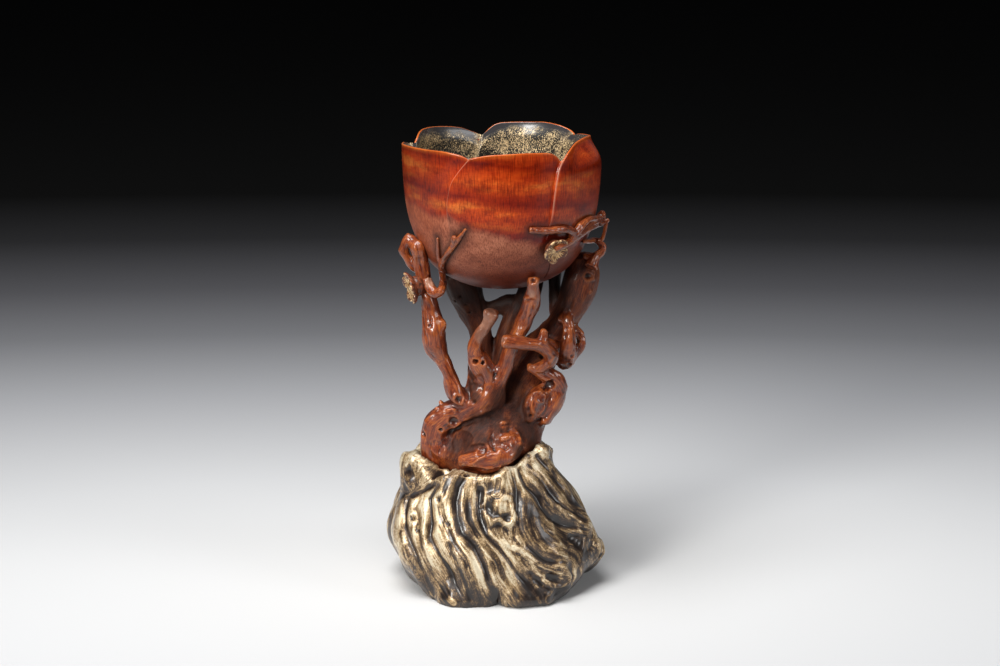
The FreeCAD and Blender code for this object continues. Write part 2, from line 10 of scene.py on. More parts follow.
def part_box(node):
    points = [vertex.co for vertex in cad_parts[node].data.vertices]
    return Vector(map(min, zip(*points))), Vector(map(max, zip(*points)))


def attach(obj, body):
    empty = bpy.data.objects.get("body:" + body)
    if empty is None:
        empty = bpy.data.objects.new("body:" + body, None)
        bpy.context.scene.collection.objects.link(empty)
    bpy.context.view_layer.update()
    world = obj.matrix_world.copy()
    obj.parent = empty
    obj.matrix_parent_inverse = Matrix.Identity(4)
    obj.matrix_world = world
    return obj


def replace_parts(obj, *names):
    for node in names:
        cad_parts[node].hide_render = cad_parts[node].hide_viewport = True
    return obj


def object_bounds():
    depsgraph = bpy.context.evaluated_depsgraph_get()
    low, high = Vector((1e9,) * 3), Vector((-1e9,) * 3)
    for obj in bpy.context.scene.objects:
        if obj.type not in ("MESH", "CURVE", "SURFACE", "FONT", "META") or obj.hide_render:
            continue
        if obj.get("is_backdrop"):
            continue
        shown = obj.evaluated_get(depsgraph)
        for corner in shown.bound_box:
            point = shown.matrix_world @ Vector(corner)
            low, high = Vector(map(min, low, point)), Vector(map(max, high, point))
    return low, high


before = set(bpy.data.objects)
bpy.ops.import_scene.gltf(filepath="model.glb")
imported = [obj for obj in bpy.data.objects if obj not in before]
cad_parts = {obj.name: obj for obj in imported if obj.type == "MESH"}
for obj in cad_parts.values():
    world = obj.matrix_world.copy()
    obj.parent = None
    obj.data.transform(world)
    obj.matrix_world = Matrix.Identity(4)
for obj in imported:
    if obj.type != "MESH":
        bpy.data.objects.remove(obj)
cad_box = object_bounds()
MM = 0.001


# The viewpoint: a long lens about a metre in front of the cup, a little above its rim and
# looking down on it.
CAMERA_PLACE = (1.2 * MM, -1030 * MM, 355 * MM)
CAMERA_TURN = math.pi / 2 - math.radians(13.26)
LENS = 86.81
SENSOR = 36.0
FRAME_WIDTH, FRAME_HEIGHT = 1000, 666


def shown(name, data):
    """A new object of the scene, at the origin."""
    piece = bpy.data.objects.new(name, data)
    bpy.context.scene.collection.objects.link(piece)
    return piece


camera = shown("camera", bpy.data.cameras.new("camera"))
camera.data.lens = LENS
camera.data.sensor_width = SENSOR
camera.data.clip_start = 0.05
camera.data.clip_end = 60.0
camera.location = CAMERA_PLACE
camera.rotation_euler = (CAMERA_TURN, 0, 0)
bpy.context.scene.camera = camera


def sight(x, y):
    """The direction in which the camera sees the point x, y of the picture."""
    way = Vector((x - FRAME_WIDTH / 2, FRAME_HEIGHT / 2 - y, -LENS / SENSOR * FRAME_WIDTH))
    return (Matrix.Rotation(CAMERA_TURN, 3, "X") @ way).normalized()


# The rockwork stand: a block of wood carved as a rock of flowing ribs, with small knots and
# hollows.  It is coated with black lacquer and gilded, and the gold is rubbed away in the
# furrows.  The root stands in its socket and lifts out.
def cad(*nodes):
    """The meshes of these nodes of the CAD."""
    return [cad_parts[node].data for node in nodes]


def joined(meshes):
    """One bmesh of these meshes, with the points that meet merged."""
    form = bmesh.new()
    for mesh in meshes:
        form.from_mesh(mesh)
    bmesh.ops.remove_doubles(form, verts=form.verts, dist=0.002 * MM)
    return form


def gaps_to(meshes, points, reach):
    """How far each point is from these meshes, up to a reach, in millimetres."""
    form = joined(meshes)
    surface = BVHTree.FromBMesh(form)
    form.free()
    found = (surface.find_nearest(Vector(point) * MM, reach * MM)[3] for point in points)
    return np.array([reach if gap is None else gap / MM for gap in found])


def placed(name, form):
    """The bmesh as an object at the origin, smooth shaded."""
    mesh = bpy.data.meshes.new(name)
    form.to_mesh(mesh)
    form.free()
    mesh.shade_smooth()
    return shown(name, mesh)


def blended(piece, grain):
    """The piece with its solids run together into one skin, with facets of about this size."""
    remesh = piece.modifiers.new("skin", "REMESH")
    remesh.mode = "VOXEL"
    remesh.voxel_size = grain * MM
    graph = bpy.context.evaluated_depsgraph_get()
    mesh = bpy.data.meshes.new_from_object(piece.evaluated_get(graph))
    piece.modifiers.clear()
    piece.data = mesh
    mesh.shade_smooth()
    return piece


def read(parts, name, width, kind=float):
    """One value of each of a mesh's parts, as the rows of a table."""
    values = np.empty(len(parts) * width, kind)
    parts.foreach_get(name, values)
    return values.reshape(-1, width)


class Carving:
    """A piece's points in millimetres, ready to be cut and raised."""

    def __init__(self, piece):
        self.piece = piece
        self.points = read(piece.data.vertices, "co", 3) / MM
        self.edges = read(piece.data.edges, "vertices", 2, int)
        self.look()

    def look(self):
        """Puts the points back in the mesh, and reads its normals and surface again."""
        mesh = self.piece.data
        mesh.vertices.foreach_set("co", (self.points * MM).ravel())
        mesh.update()
        self.normals = read(mesh.vertices, "normal", 3)
        self.surface = BVHTree.FromPolygons(
            self.points, [face.vertices for face in mesh.polygons]
        )

    def grow(self, height):
        """Moves each point out along its normal by its own height, or all by one."""
        self.points += self.normals * np.reshape(height, (-1, 1))
        self.look()

    def soften(self, rounds):
        """Draws the points together."""
        self.points = self.softened(rounds)
        self.look()

    def softened(self, rounds, values=None):
        """The points, or other values on them, each drawn halfway to its neighbours' mean."""
        values = self.points if values is None else values
        first, second = self.edges.T
        count = np.maximum(np.bincount(self.edges.ravel(), minlength=len(values)), 1)
        rows = values.reshape(len(values), -1)
        for _ in range(rounds):
            sums = np.stack([
                np.bincount(first, row[second], len(row))
                + np.bincount(second, row[first], len(row))
                for row in rows.T
            ], axis=1)
            rows = 0.5 * rows + 0.5 * sums / count[:, None]
        return rows.reshape(values.shape)

    def relief(self, rounds):
        """How far each point stands out from the softened surface."""
        return ((self.points - self.softened(rounds)) * self.normals).sum(1)

    def seen(self, x, y):
        """The point of the surface that the camera sees at x, y of the picture."""
        return self.surface.ray_cast(Vector(CAMERA_PLACE) / MM, sight(x, y))[0]

    def outermost(self, out, height, middle=0):
        """The point of the surface that is seen from outside at this height."""
        return self.surface.ray_cast(out * FAR_OUT + Vector((middle, 0, height)), -out)[0]

    def stroke(self, marks):
        """The line on the surface through these points of the picture."""
        return [hit for hit in (self.seen(*mark) for mark in marks) if hit is not None]

    def near(self, line):
        """How far each point is from a line, and the share of the line it is nearest to."""
        best = np.full(len(self.points), UNREACHED)
        along = np.zeros(len(self.points))
        knots = np.array(line)
        lengths = np.linalg.norm(np.diff(knots, axis=0), axis=1)
        total, run = max(lengths.sum(), 1e-6), 0.0
        low, high = knots.min(0) - LINE_REACH, knots.max(0) + LINE_REACH
        close = np.nonzero(((self.points > low) & (self.points < high)).all(1))[0]
        part = self.points[close]
        for start, end, length in zip(knots, knots[1:], lengths):
            way = (end - start) / max(length, 1e-6)
            share = np.clip((part - start) @ way, 0, length)
            gap = np.linalg.norm(part - start - share[:, None] * way, axis=1)
            closer = gap < best[close]
            best[close[closer]] = gap[closer]
            along[close[closer]] = (run + share[closer]) / total
            run += length
        return best, along

    def within(self, places, slope):
        """How far in each point is, from 0 to 1, in places with a reach in the picture."""
        share = np.zeros(len(self.points))
        for x, y, reach in places:
            middle = self.seen(x, y)
            if middle is not None:
                gap = np.linalg.norm(self.points - np.array(middle), axis=1)
                share = np.maximum(share, smooth(slope * (reach - gap) / reach))
        return share

    def notch(self, form, hole, middle, radius, depth, lip):
        """Sinks a round hole with a healed lip about a point, a little out of round."""
        gap = np.linalg.norm(self.points - np.array(middle), axis=1)
        close = np.nonzero(gap < radius * 3 + 2)[0]
        waver = pattern(self.points[close], radius * 1.1 + 0.3)
        gap = gap[close] * (1 + 0.22 * waver)
        bowl = np.clip(1 - (gap / radius) ** 2, 0, 1)
        ring = np.exp(-(((gap - radius * 1.25) / (0.4 * radius + 0.25)) ** 2))
        form[close] += lip * ring * (0.8 + 0.5 * waver) - depth * bowl ** 0.7
        # painted shade: small deep holes are painted dark inside
        if radius < DARK_HOLE_RADIUS and depth > DARK_HOLE_DEPTH:
            hole[close] = np.maximum(hole[close], bowl * min(depth, 1.5) / 1.5)

    def knots(self, form, hole, sizes, lip_share=1.0):
        """Sinks the holes and raises the knots that the picture shows."""
        for x, y, radius, depth, lip in sizes:
            middle = self.seen(x, y)
            if middle is not None:
                self.notch(form, hole, middle, radius, depth, lip * lip_share)

    def ridges(self, form, sizes):
        """Raises or cuts lines that the picture shows, fading at their ends."""
        for marks, width, rise in sizes:
            line = self.stroke(marks)
            if len(line) > 1:
                gap, along = self.near(line)
                close = np.nonzero(gap < width * 3)[0]
                ends = np.clip(np.minimum(along[close], 1 - along[close]) / 0.2, 0.1, 1)
                waver = pattern(self.points[close], 2.2)
                bank = np.exp(-((gap[close] / (width * (1 + 0.2 * waver))) ** 2))
                form[close] += rise * ends * (0.9 + 0.35 * waver) * bank


def pattern(values, *scales):
    """Smooth noise from -1 to 1 in cells of these sizes."""
    return np.array([noise.noise(cell) for cell in (values / np.array(scales)).tolist()]) * 1.6


def smooth(share):
    """A share from 0 to 1, eased at both ends."""
    share = np.clip(share, 0, 1)
    return share * share * (3 - 2 * share)


def outward(degrees):
    """The level direction at this angle from the right."""
    return Vector((math.cos(math.radians(degrees)), math.sin(math.radians(degrees)), 0))


def linear(code):
    """An sRGB colour written as hex, as the linear colour that a shader takes."""
    parts = [int(code[place:place + 2], 16) / 255 for place in (1, 3, 5)]
    return [
        part / 12.92 if part <= 0.04045 else ((part + 0.055) / 1.055) ** 2.4 for part in parts
    ] + [1.0]


def finish_of(name, *pieces, **constants):
    """A new material on these pieces, with the shader's settings that don't vary.  Gives the
    functions that add a node to it and that join a node to its shader."""
    material = bpy.data.materials.new(name)
    material.use_nodes = True
    tree = material.node_tree
    shader = tree.nodes["Principled BSDF"]
    for key, value in constants.items():
        shader.inputs[key.replace("_", " ")].default_value = value
    for piece in pieces:
        piece.data.materials.clear()
        piece.data.materials.append(material)

    def add(kind, inputs=None, stops=None, out=None, **settings):
        """Adds a node and gives its output.  An input is a value or another node's output."""
        node = tree.nodes.new(kind)
        for key, value in settings.items():
            setattr(node, key, value)
        for key, value in (inputs or {}).items():
            if isinstance(value, bpy.types.NodeSocket):
                tree.links.new(value, node.inputs[key])
            else:
                node.inputs[key].default_value = linear(value) if isinstance(value, str) else value
        if stops:
            points = node.color_ramp.elements
            while len(points) < len(stops):
                points.new(1.0)
            for point, (place, shade) in zip(points, stops.items()):
                point.position = place
                point.color = linear(shade) if isinstance(shade, str) else [shade] * 3 + [1.0]
        return node.outputs[out] if out else next(one for one in node.outputs if one.enabled)

    def join(source, name):
        tree.links.new(source, shader.inputs[name])

    return add, join


def keep(piece, **values):
    """Stores numbers or vectors for the points of a piece, for its material."""
    for name, value in values.items():
        flat = value.ndim == 1
        layer = piece.data.attributes.new(name, "FLOAT" if flat else "FLOAT_VECTOR", "POINT")
        layer.data.foreach_set("value" if flat else "vector", value.astype(np.float32).ravel())


MATH, MIX, RAMP, SPAN = "ShaderNodeMath", "ShaderNodeMix", "ShaderNodeValToRGB", "ShaderNodeMapRange"
NOISE, MAPPING, BUMP = "ShaderNodeTexNoise", "ShaderNodeMapping", "ShaderNodeBump"
ATTRIBUTE, PLACES, SPLIT = "ShaderNodeAttribute", "ShaderNodeTexCoord", "ShaderNodeSeparateXYZ"
COVER = {"data_type": "RGBA"}
TINT = {"data_type": "RGBA", "blend_type": "MULTIPLY"}
FAR_OUT = 80
LINE_REACH = 12
UNREACHED = 1e9
DARK_HOLE_RADIUS, DARK_HOLE_DEPTH = 2.6, 0.9
# The furrows between the ribs, as they run in the picture.
FURROWS = (
    ((440, 477), (434, 484), (424, 491), (413, 496), (401, 499)),
    ((401, 500), (396, 511), (393, 523), (394, 536), (399, 550), (406, 565), (414, 579)),
    ((408, 500), (406, 511), (405, 524), (410, 541), (417, 557), (424, 572), (429, 583), (435, 593)),
    (
        (420, 498), (416, 507), (419, 519), (416, 531), (419, 547), (425, 562), (435, 579), (447, 595),
        (454, 603),
    ),
    (
        (438, 486), (430, 499), (431, 512), (432, 524), (430, 536), (437, 550), (447, 567), (455, 584),
        (466, 603),
    ),
    (
        (452, 476), (446, 488), (442, 502), (443, 516), (449, 529), (455, 545), (466, 560), (473, 577),
        (481, 603),
    ),
    (
        (466, 475), (459, 487), (456, 502), (457, 517), (462, 533), (476, 548), (483, 564), (488, 579),
        (497, 599),
    ),
    (
        (473, 475), (469, 488), (467, 504), (469, 519), (476, 533), (486, 547), (497, 560), (503, 576),
        (522, 603),
    ),
    (
        (484, 474), (480, 490), (479, 505), (481, 521), (486, 535), (498, 547), (507, 559), (516, 572),
        (526, 584), (540, 602),
    ),
    ((498, 470), (499, 480), (497, 492)),
    (
        (512, 470), (518, 490), (518, 505), (517, 519), (521, 533), (528, 547), (540, 559), (553, 565),
        (566, 568),
    ),
    ((515, 528), (514, 538), (523, 551), (535, 560), (548, 566), (560, 569)),
    ((517, 466), (526, 486), (536, 497), (541, 507), (550, 517), (563, 523), (577, 528), (590, 531)),
    ((527, 464), (541, 480), (548, 492), (557, 504), (569, 514), (582, 522), (590, 526)),
    ((538, 457), (551, 473), (562, 487), (570, 499), (581, 509), (588, 517)),
    ((529, 461), (539, 456), (550, 457), (554, 464)), ((534, 450), (543, 445), (551, 449)),
    ((592, 532), (590, 546), (594, 560)), ((570, 567), (573, 578), (563, 589), (549, 599)),
    ((530, 572), (540, 584), (552, 592)), ((506, 530), (512, 545), (522, 558), (530, 568)),
    ((411, 458), (409, 472), (412, 486)), ((404, 533), (410, 552), (419, 575)),
    ((450, 545), (458, 562), (465, 580), (472, 603)),
)
# The furrows above that are shallow, counted from the first.
SHALLOW = (1, 3, 5, 7, 9, 11, 13, 15, 16, 17, 19, 20, 21, 22, 23)
# The ribs of the back and the sides that the picture doesn't show: the angle at which each
# furrow leaves the top, in degrees from the right, and how far it turns on its way down.
BACK_FURROWS = (
    (-8, 16), (4, 22), (15, 18), (28, 24), (38, 17), (52, 23), (63, 15), (76, 22), (90, 18), (101, 24),
    (114, 17), (126, 23), (139, 16), (151, 22), (163, 18), (176, 20), (187, 12),
)
# Knots and bumps of the stand: place in the picture, radius, depth (or rise, if below zero)
# and the height of the lip, in millimetres.
STAND_KNOTS = (
    (413, 519, 1.8, 0.6, 0.7), (440, 499, 1.7, 0.7, 0.6), (449, 524, 1.3, 0.7, 0.5),
    (418, 531, 1.2, 0.6, 0.4), (600, 555, 1.6, 1, 0.6), (501, 506, 4, -2.2, 0), (488, 510, 3, 1.3, 0),
    (566, 528, 8, 1.8, 0), (575, 541, 4.4, 1.6, 0.4), (553, 578, 3.6, 1.4, 0), (410, 480, 3.2, -1.2, 0),
    (421, 452, 3, -1.4, 0), (545, 452, 3.4, -1.3, 0), (525, 455, 2.6, -1, 0), (600, 546, 4, -1.2, 0),
)
# Raised lines of the stand: the line in the picture, its width and its height.
STAND_RIDGES = (
    (
        (
            (480, 500), (490, 496), (500, 494), (510, 499), (513, 507), (515, 519), (510, 526), (505, 523),
            (498, 519), (491, 524), (486, 516), (481, 505), (481, 500),
        ),
        1, 1.9,
    ),
    (
        (
            (531, 560), (538, 572), (545, 581), (558, 586), (567, 584), (569, 576), (562, 567), (548, 565),
            (536, 564),
        ),
        1, 1.3,
    ),
    (((517, 468), (534, 484), (548, 500), (562, 512), (578, 520), (590, 531)), 1.1, 1.4),
    (((500, 540), (518, 550), (536, 560), (552, 570), (565, 575)), 1.1, 1.3),
    (((404, 470), (412, 460), (424, 455), (430, 461)), 1.2, 1.1),
    (((450, 540), (458, 556), (468, 572), (476, 590)), 1.2, 0.8),
    (((425, 505), (426, 520), (425, 538), (430, 556)), 1.2, 0.8),
)
# The top edge: the angle from the right, and how far it rises or dips there, in millimetres.
TOP_EDGE = (
    (0, 0.5), (12, -2.6), (24, -2), (45, 1.6), (62, 2.6), (78, -0.5), (92, -2.5), (106, 0.6), (118, 2.2),
    (132, -1), (146, 1.2), (158, -5), (170, -4.2), (180, -2.6), (190, 0.8), (200, 3.6), (206, 2.6),
    (212, -1.4), (218, -3.2), (225, -0.6), (234, 1.8), (246, 1.6), (256, 0.9), (264, 1.4), (270, 2.7),
    (277, 5), (288, 4.2), (300, 6), (312, 7.8), (322, 8.2), (331, 6.2), (342, 4), (352, 1.6), (360, 0.5),
)
# The foot's outline: the angle from the right, and how far it spreads or draws in there.
FOOT_EDGE = (
    (0, -5), (12, -3), (25, 0), (150, 0), (168, 1.6), (182, 2), (200, 1.2), (212, 0.8), (230, 0.8),
    (236, 4), (244, 6), (252, 4.5), (259, 0.8), (264, 0), (270, -4.5), (276, 0.6), (282, 4.5), (290, 5.5),
    (298, 6.5), (304, 4), (310, 0.8), (316, -1.5), (326, -4), (336, -6), (348, -7), (360, -5),
)
STAND_GRAIN = 0.7
RIB_HEIGHT = 1.0
FURROW_DEPTH = 2.5
FURROW_WIDTH = 1.7
FURROW_STEPS = 14
DEEPEST_CUT = -2.4
WELL_REACH = 8
STAND_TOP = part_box("rock_stand")[1].z / MM

stand = blended(placed("rockwork_stand", joined(cad("rock_stand"))), STAND_GRAIN)
work = Carving(stand)
around = np.degrees(np.arctan2(work.points[:, 1], work.points[:, 0])) % 360
work.points[:, 2] += np.interp(around, *zip(*TOP_EDGE)) * smooth((work.points[:, 2] - 34) / 24)
wide = np.hypot(work.points[:, 0], work.points[:, 1])
spread = np.interp(around, *zip(*FOOT_EDGE)) * smooth((wide - 14) / 14)
spread *= 1 - smooth(work.points[:, 2] / 15)
work.points[:, :2] *= (1 + spread / np.maximum(wide, 1))[:, None]
work.look()
lines = [work.stroke(marks) for marks in FURROWS]
for top_angle, turn in BACK_FURROWS:
    line = []
    for share in (step / FURROW_STEPS for step in range(FURROW_STEPS + 1)):
        out = outward(top_angle - turn * share ** 1.3 + 4 * math.sin(5 * share + top_angle))
        hit = work.outermost(out, STAND_TOP * (0.99 - 0.99 * share))
        if hit is not None and hit.dot(out) > 18:
            line.append(hit)
    lines.append(line)

count = len(work.points)
valley, hole = np.zeros(count), np.zeros(count)
nearest = np.full(count, UNREACHED)
rib = np.zeros((count, 3))
for turn, line in enumerate(lines):
    if len(line) < 2:
        continue
    start = line[0]
    if start.z > 40:
        line.insert(0, Vector((start.x * 0.82, start.y * 0.82, start.z + 3)))
    gap, along = work.near(line)
    gap = gap * (1 + 0.25 * math.sin(turn * 1.7))
    ends = np.clip((1 - along) / 0.2, 0, 1) * (0.65 + 0.35 * np.sin(along * 7 + turn * 2.1) ** 2)
    share = 0.85 + 0.3 * math.sin(turn * 2.3)
    if turn < len(FURROWS):
        share = 0.5 if turn in SHALLOW else 1.15
    valley = np.maximum(valley, share * ends * np.exp(-np.sqrt(gap ** 2 + 0.1) / FURROW_WIDTH))
    closer = gap < nearest
    nearest[closer] = gap[closer]
    rib[closer] = np.stack([gap, along * 60, np.full(len(gap), turn * 7.3)], axis=1)[closer]
form = RIB_HEIGHT - FURROW_DEPTH * valley
form += 0.16 * pattern(rib, 1.6, 10.0, 1.0) + 0.6 * pattern(work.points, 8.0, 8.0, 14.0)
form = work.softened(1, form)
work.knots(form, hole, STAND_KNOTS)
work.ridges(form, STAND_RIDGES)
form = np.where(form < DEEPEST_CUT, DEEPEST_CUT - 1.2 * np.tanh((DEEPEST_CUT - form) / 1.2), form)
# the foot stays flat, the socket stays clear of the root, and its wall leans in close to it
level = work.points[:, 2]
clear = gaps_to(cad("root_trunk", "left_root", "root_burr"), work.points, WELL_REACH)
inward = -(work.points[:, :2] * work.normals[:, :2]).sum(1) / np.hypot(*work.points[:, :2].T)
form *= smooth((clear - 0.6) / 3.4) * smooth(level / 2.5)
form += 0.75 * np.maximum(clear - 1.3, 0) * smooth((inward - 0.2) / 0.5) * smooth((level - 40) / 8)
form = work.softened(1, form)
# painted shade: the socket's wall close round the root is painted dark, in the same mask as the holes
socket_shade = smooth((inward - 0.15) / 0.5) * smooth((5 - clear) / 4) * smooth((level - 20) / 8)
hole = np.maximum(hole, 0.85 * socket_shade)
work.grow(form)
work.points[:, 2] = np.maximum(work.points[:, 2], 0)
work.look()
keep(stand, relief=work.relief(30), rib=rib, hole=hole)
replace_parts(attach(stand, "stand"), "rock_stand")

# Its lacquer: black in the furrows, with strokes of gold where the ribs stand out.
add, join = finish_of("black_lacquer_with_rubbed_gilding", stand, Coat_Weight=0.45, Coat_Roughness=0.12)
raised, holes_and_shade = (add(ATTRIBUTE, attribute_name=name, out="Fac") for name in ("relief", "hole"))
runs = add(ATTRIBUTE, attribute_name="rib", out="Vector")
spots = add(PLACES, out="Object")
across, height = (add(SPLIT, {0: spots}, out=axis) for axis in "XZ")
strokes, blots, regions, dust = (
    add(NOISE, {
        0: add(MAPPING, {0: source, "Scale": cells}), "Scale": 1.0, "Detail": detail, "Roughness": rough,
    })
    for source, cells, detail, rough in (
        (runs, (1.0, 0.085, 1.0), 6.0, 0.65), (spots, (420, 420, 420), 5.0, 0.7),
        (spots, (95, 95, 34), 3.0, 0.55), (spots, (1500, 1500, 1500), 3.0, 0.6),
    )
)
low = add(SPAN, {0: height, 1: -0.002, 2: 0.013})
total = add(SPAN, {0: raised, 1: -0.75, 2: 0.35})
# the left side is painted brighter, partly gold that is left there and partly painted light
# from the left
for part, weight in ((strokes, 2.3), (blots, 0.5), (dust, 0.8), (regions, 2.1), (low, 0.70), (across, -3.0)):
    total = add(MATH, {0: part, 1: weight, 2: total}, operation="MULTIPLY_ADD")
rubbed = add(SPAN, {0: total, 1: 3.78, 2: 4.84})
skin = add(RAMP, {0: rubbed}, {
    0.0: "#1a110d", 0.20: "#2e2019", 0.38: "#554232", 0.54: "#8f7350", 0.72: "#cdae84", 1.0: "#f8e9ca",
})
# painted shade: the holes and the socket's wall are painted near black
join(add(MIX, {0: holes_and_shade, "A": skin, "B": "#120e0b"}, **COVER), "Base Color")
join(add(SPAN, {0: rubbed, 1: 0.25, 2: 0.65, 4: 0.5}), "Metallic")
rough = add(SPAN, {0: rubbed, 3: 0.28, 4: 0.42})
join(add(MATH, {0: blots, 1: 0.12, 2: rough}, operation="MULTIPLY_ADD"), "Roughness")
join(add(BUMP, {"Height": strokes, "Strength": 0.25, "Distance": 0.0005}), "Normal")


# The root: a piece of gnarled wood, carved, undercut and polished to a deep red brown.  Its
# swollen foot stands in the stand, and its limbs, knots and branches carry the cup.  The
# grain follows each limb, so the limbs' middle lines are written down here.
SEAT = 46.0
STEM = 86.0
FOOT_REACH = 26.0
CUP_RADIUS = 43.0


def on_stem(x_share, y_share, z_share):
    """A place on the root, which leans outwards as it rises, in millimetres."""
    reach = FOOT_REACH + (CUP_RADIUS - FOOT_REACH) * z_share
    return Vector((reach * x_share, reach * y_share, SEAT + STEM * z_share))


LIMB_LINES = {
    "root_trunk": (
        (-0.3, -0.04, 0), (-0.25, -0.04, 0.09), (-0.11, 0, 0.2), (0.11, 0, 0.31), (0.29, 0.03, 0.41),
        (0.35, 0.06, 0.53), (0.46, 0.05, 0.64), (0.62, 0.03, 0.74), (0.72, 0, 0.84), (0.8, -0.02, 0.94),
        (0.83, -0.02, 1.1),
    ),
    "left_root": (
        (-0.95, -0.22, 0), (-0.96, -0.28, 0.15), (-0.92, -0.3, 0.24), (-0.81, -0.32, 0.33),
        (-0.64, -0.34, 0.38), (-0.39, -0.37, 0.4),
    ),
    "fork_limb": (
        (-0.39, -0.37, 0.4), (-0.2, -0.42, 0.45), (-0.05, -0.43, 0.53), (0.07, -0.44, 0.62),
        (0.13, -0.45, 0.71), (0.2, -0.46, 0.79), (0.28, -0.46, 0.88), (0.35, -0.57, 1.08),
    ),
    "fork_stub": ((-0.05, -0.43, 0.53), (-0.21, -0.45, 0.67), (-0.25, -0.46, 0.73), (-0.09, -0.47, 0.94)),
    "left_branch": (
        (-0.48, -0.4, 0.4), (-0.55, -0.39, 0.56), (-0.7, -0.34, 0.75), (-0.69, -0.3, 0.91),
        (-0.71, -0.26, 1.12), (-0.74, -0.25, 1.28),
    ),
    "left_crook": ((-0.74, -0.23, 1.275), (-0.81, -0.22, 1.28), (-0.86, -0.22, 1.22), (-0.73, -0.24, 1.13)),
    "back_left_limb": (
        (0.02, 0.15, 0.3), (-0.14, 0.24, 0.37), (-0.2, 0.27, 0.63), (-0.19, 0.26, 0.73),
        (-0.32, 0.21, 0.94), (-0.41, 0.13, 1.09),
    ),
    "back_mid_limb": ((0.09, 0.2, 0.46), (0.1, 0.24, 0.65), (0.24, 0.25, 0.85), (0.36, 0.18, 1.04)),
    "back_bridge": ((-0.22, 0.27, 0.88), (0.21, 0.27, 0.9)),
    "right_prong": ((0.68, 0.12, 0.82), (0.59, 0.21, 1), (0.58, 0.22, 1.08)),
    "knot_loop": ((0.69, -0.14, 0.86), (0.79, -0.25, 0.8), (0.8, -0.24, 0.72), (0.78, -0.05, 0.6)),
    "knot_strand": ((0.76, -0.08, 0.82), (0.95, -0.13, 0.75), (0.88, -0.14, 0.66)),
    "side_limb": ((0.36, -0.4, 0.64), (0.64, -0.33, 0.58), (0.79, -0.26, 0.48), (0.63, -0.28, 0.33)),
    "curled_branch": ((0.06, -0.66, 0.8), (0.44, -0.58, 0.77), (0.62, -0.45, 0.69), (0.47, -0.42, 0.63)),
    "curl_root": ((0.66, -0.1, 0.7), (0.53, -0.47, 0.76)),
    "knot_stump": ((0.62, -0.28, 0.51), (0.48, -0.4, 0.46), (0.44, -0.45, 0.35)),
    "root_burr": ((-0.55, -0.68, 0.155), (0.05, -0.74, 0.185), (0.1, -0.62, 0.29)),
}
ROOT_NODES = sorted(LIMB_LINES) + ["branch_thorn", "curl_bud"]
# Knots, holes and hollows of the front, as the picture shows them: where they are, how wide
# they are, how deep, and how high the healed lip round them stands, in millimetres.
KNOTS = (
    (458, 400, 1.7, 1.3, 0.7), (475, 362, 1.3, 2.4, 0.5), (483, 363, 1, 1.6, 0.4),
    (441, 430, 0.9, 1.4, 0.3), (453, 421, 2, 1.3, 0.3), (549, 385, 3, 2.6, 0), (531, 416, 0.8, 1.3, 0.2),
    (455, 301, 0.7, 1.4, 0), (460, 297, 0.6, 1.2, 0), (466, 305, 0.6, 1, 0), (470, 313, 0.5, 0.9, 0),
    (449, 312, 0.5, 0.9, 0), (533, 280, 1.4, 1.8, 0.5), (543, 356, 1.8, 1.6, 0), (588, 276, 1.5, 1.3, 0.4),
    (461, 440, 5.2, 1.7, 0), (437, 447, 3.5, 0.7, 0), (483, 452, 2.6, 0.9, 0.5), (474, 402, 1.2, 0.7, 0.2),
    (430, 326, 1, 0.6, 0.2), (572, 356, 1, 0.8, 0.2), (503, 340, 1, 0.5, 0.1), (577, 341, 1.3, 2, 0.1),
    (442, 404, 1.1, -1.9, 0), (437, 409, 1, -1.2, 0), (472, 380, 1, 0.8, 0.2), (590, 292, 1.2, -0.9, 0),
)
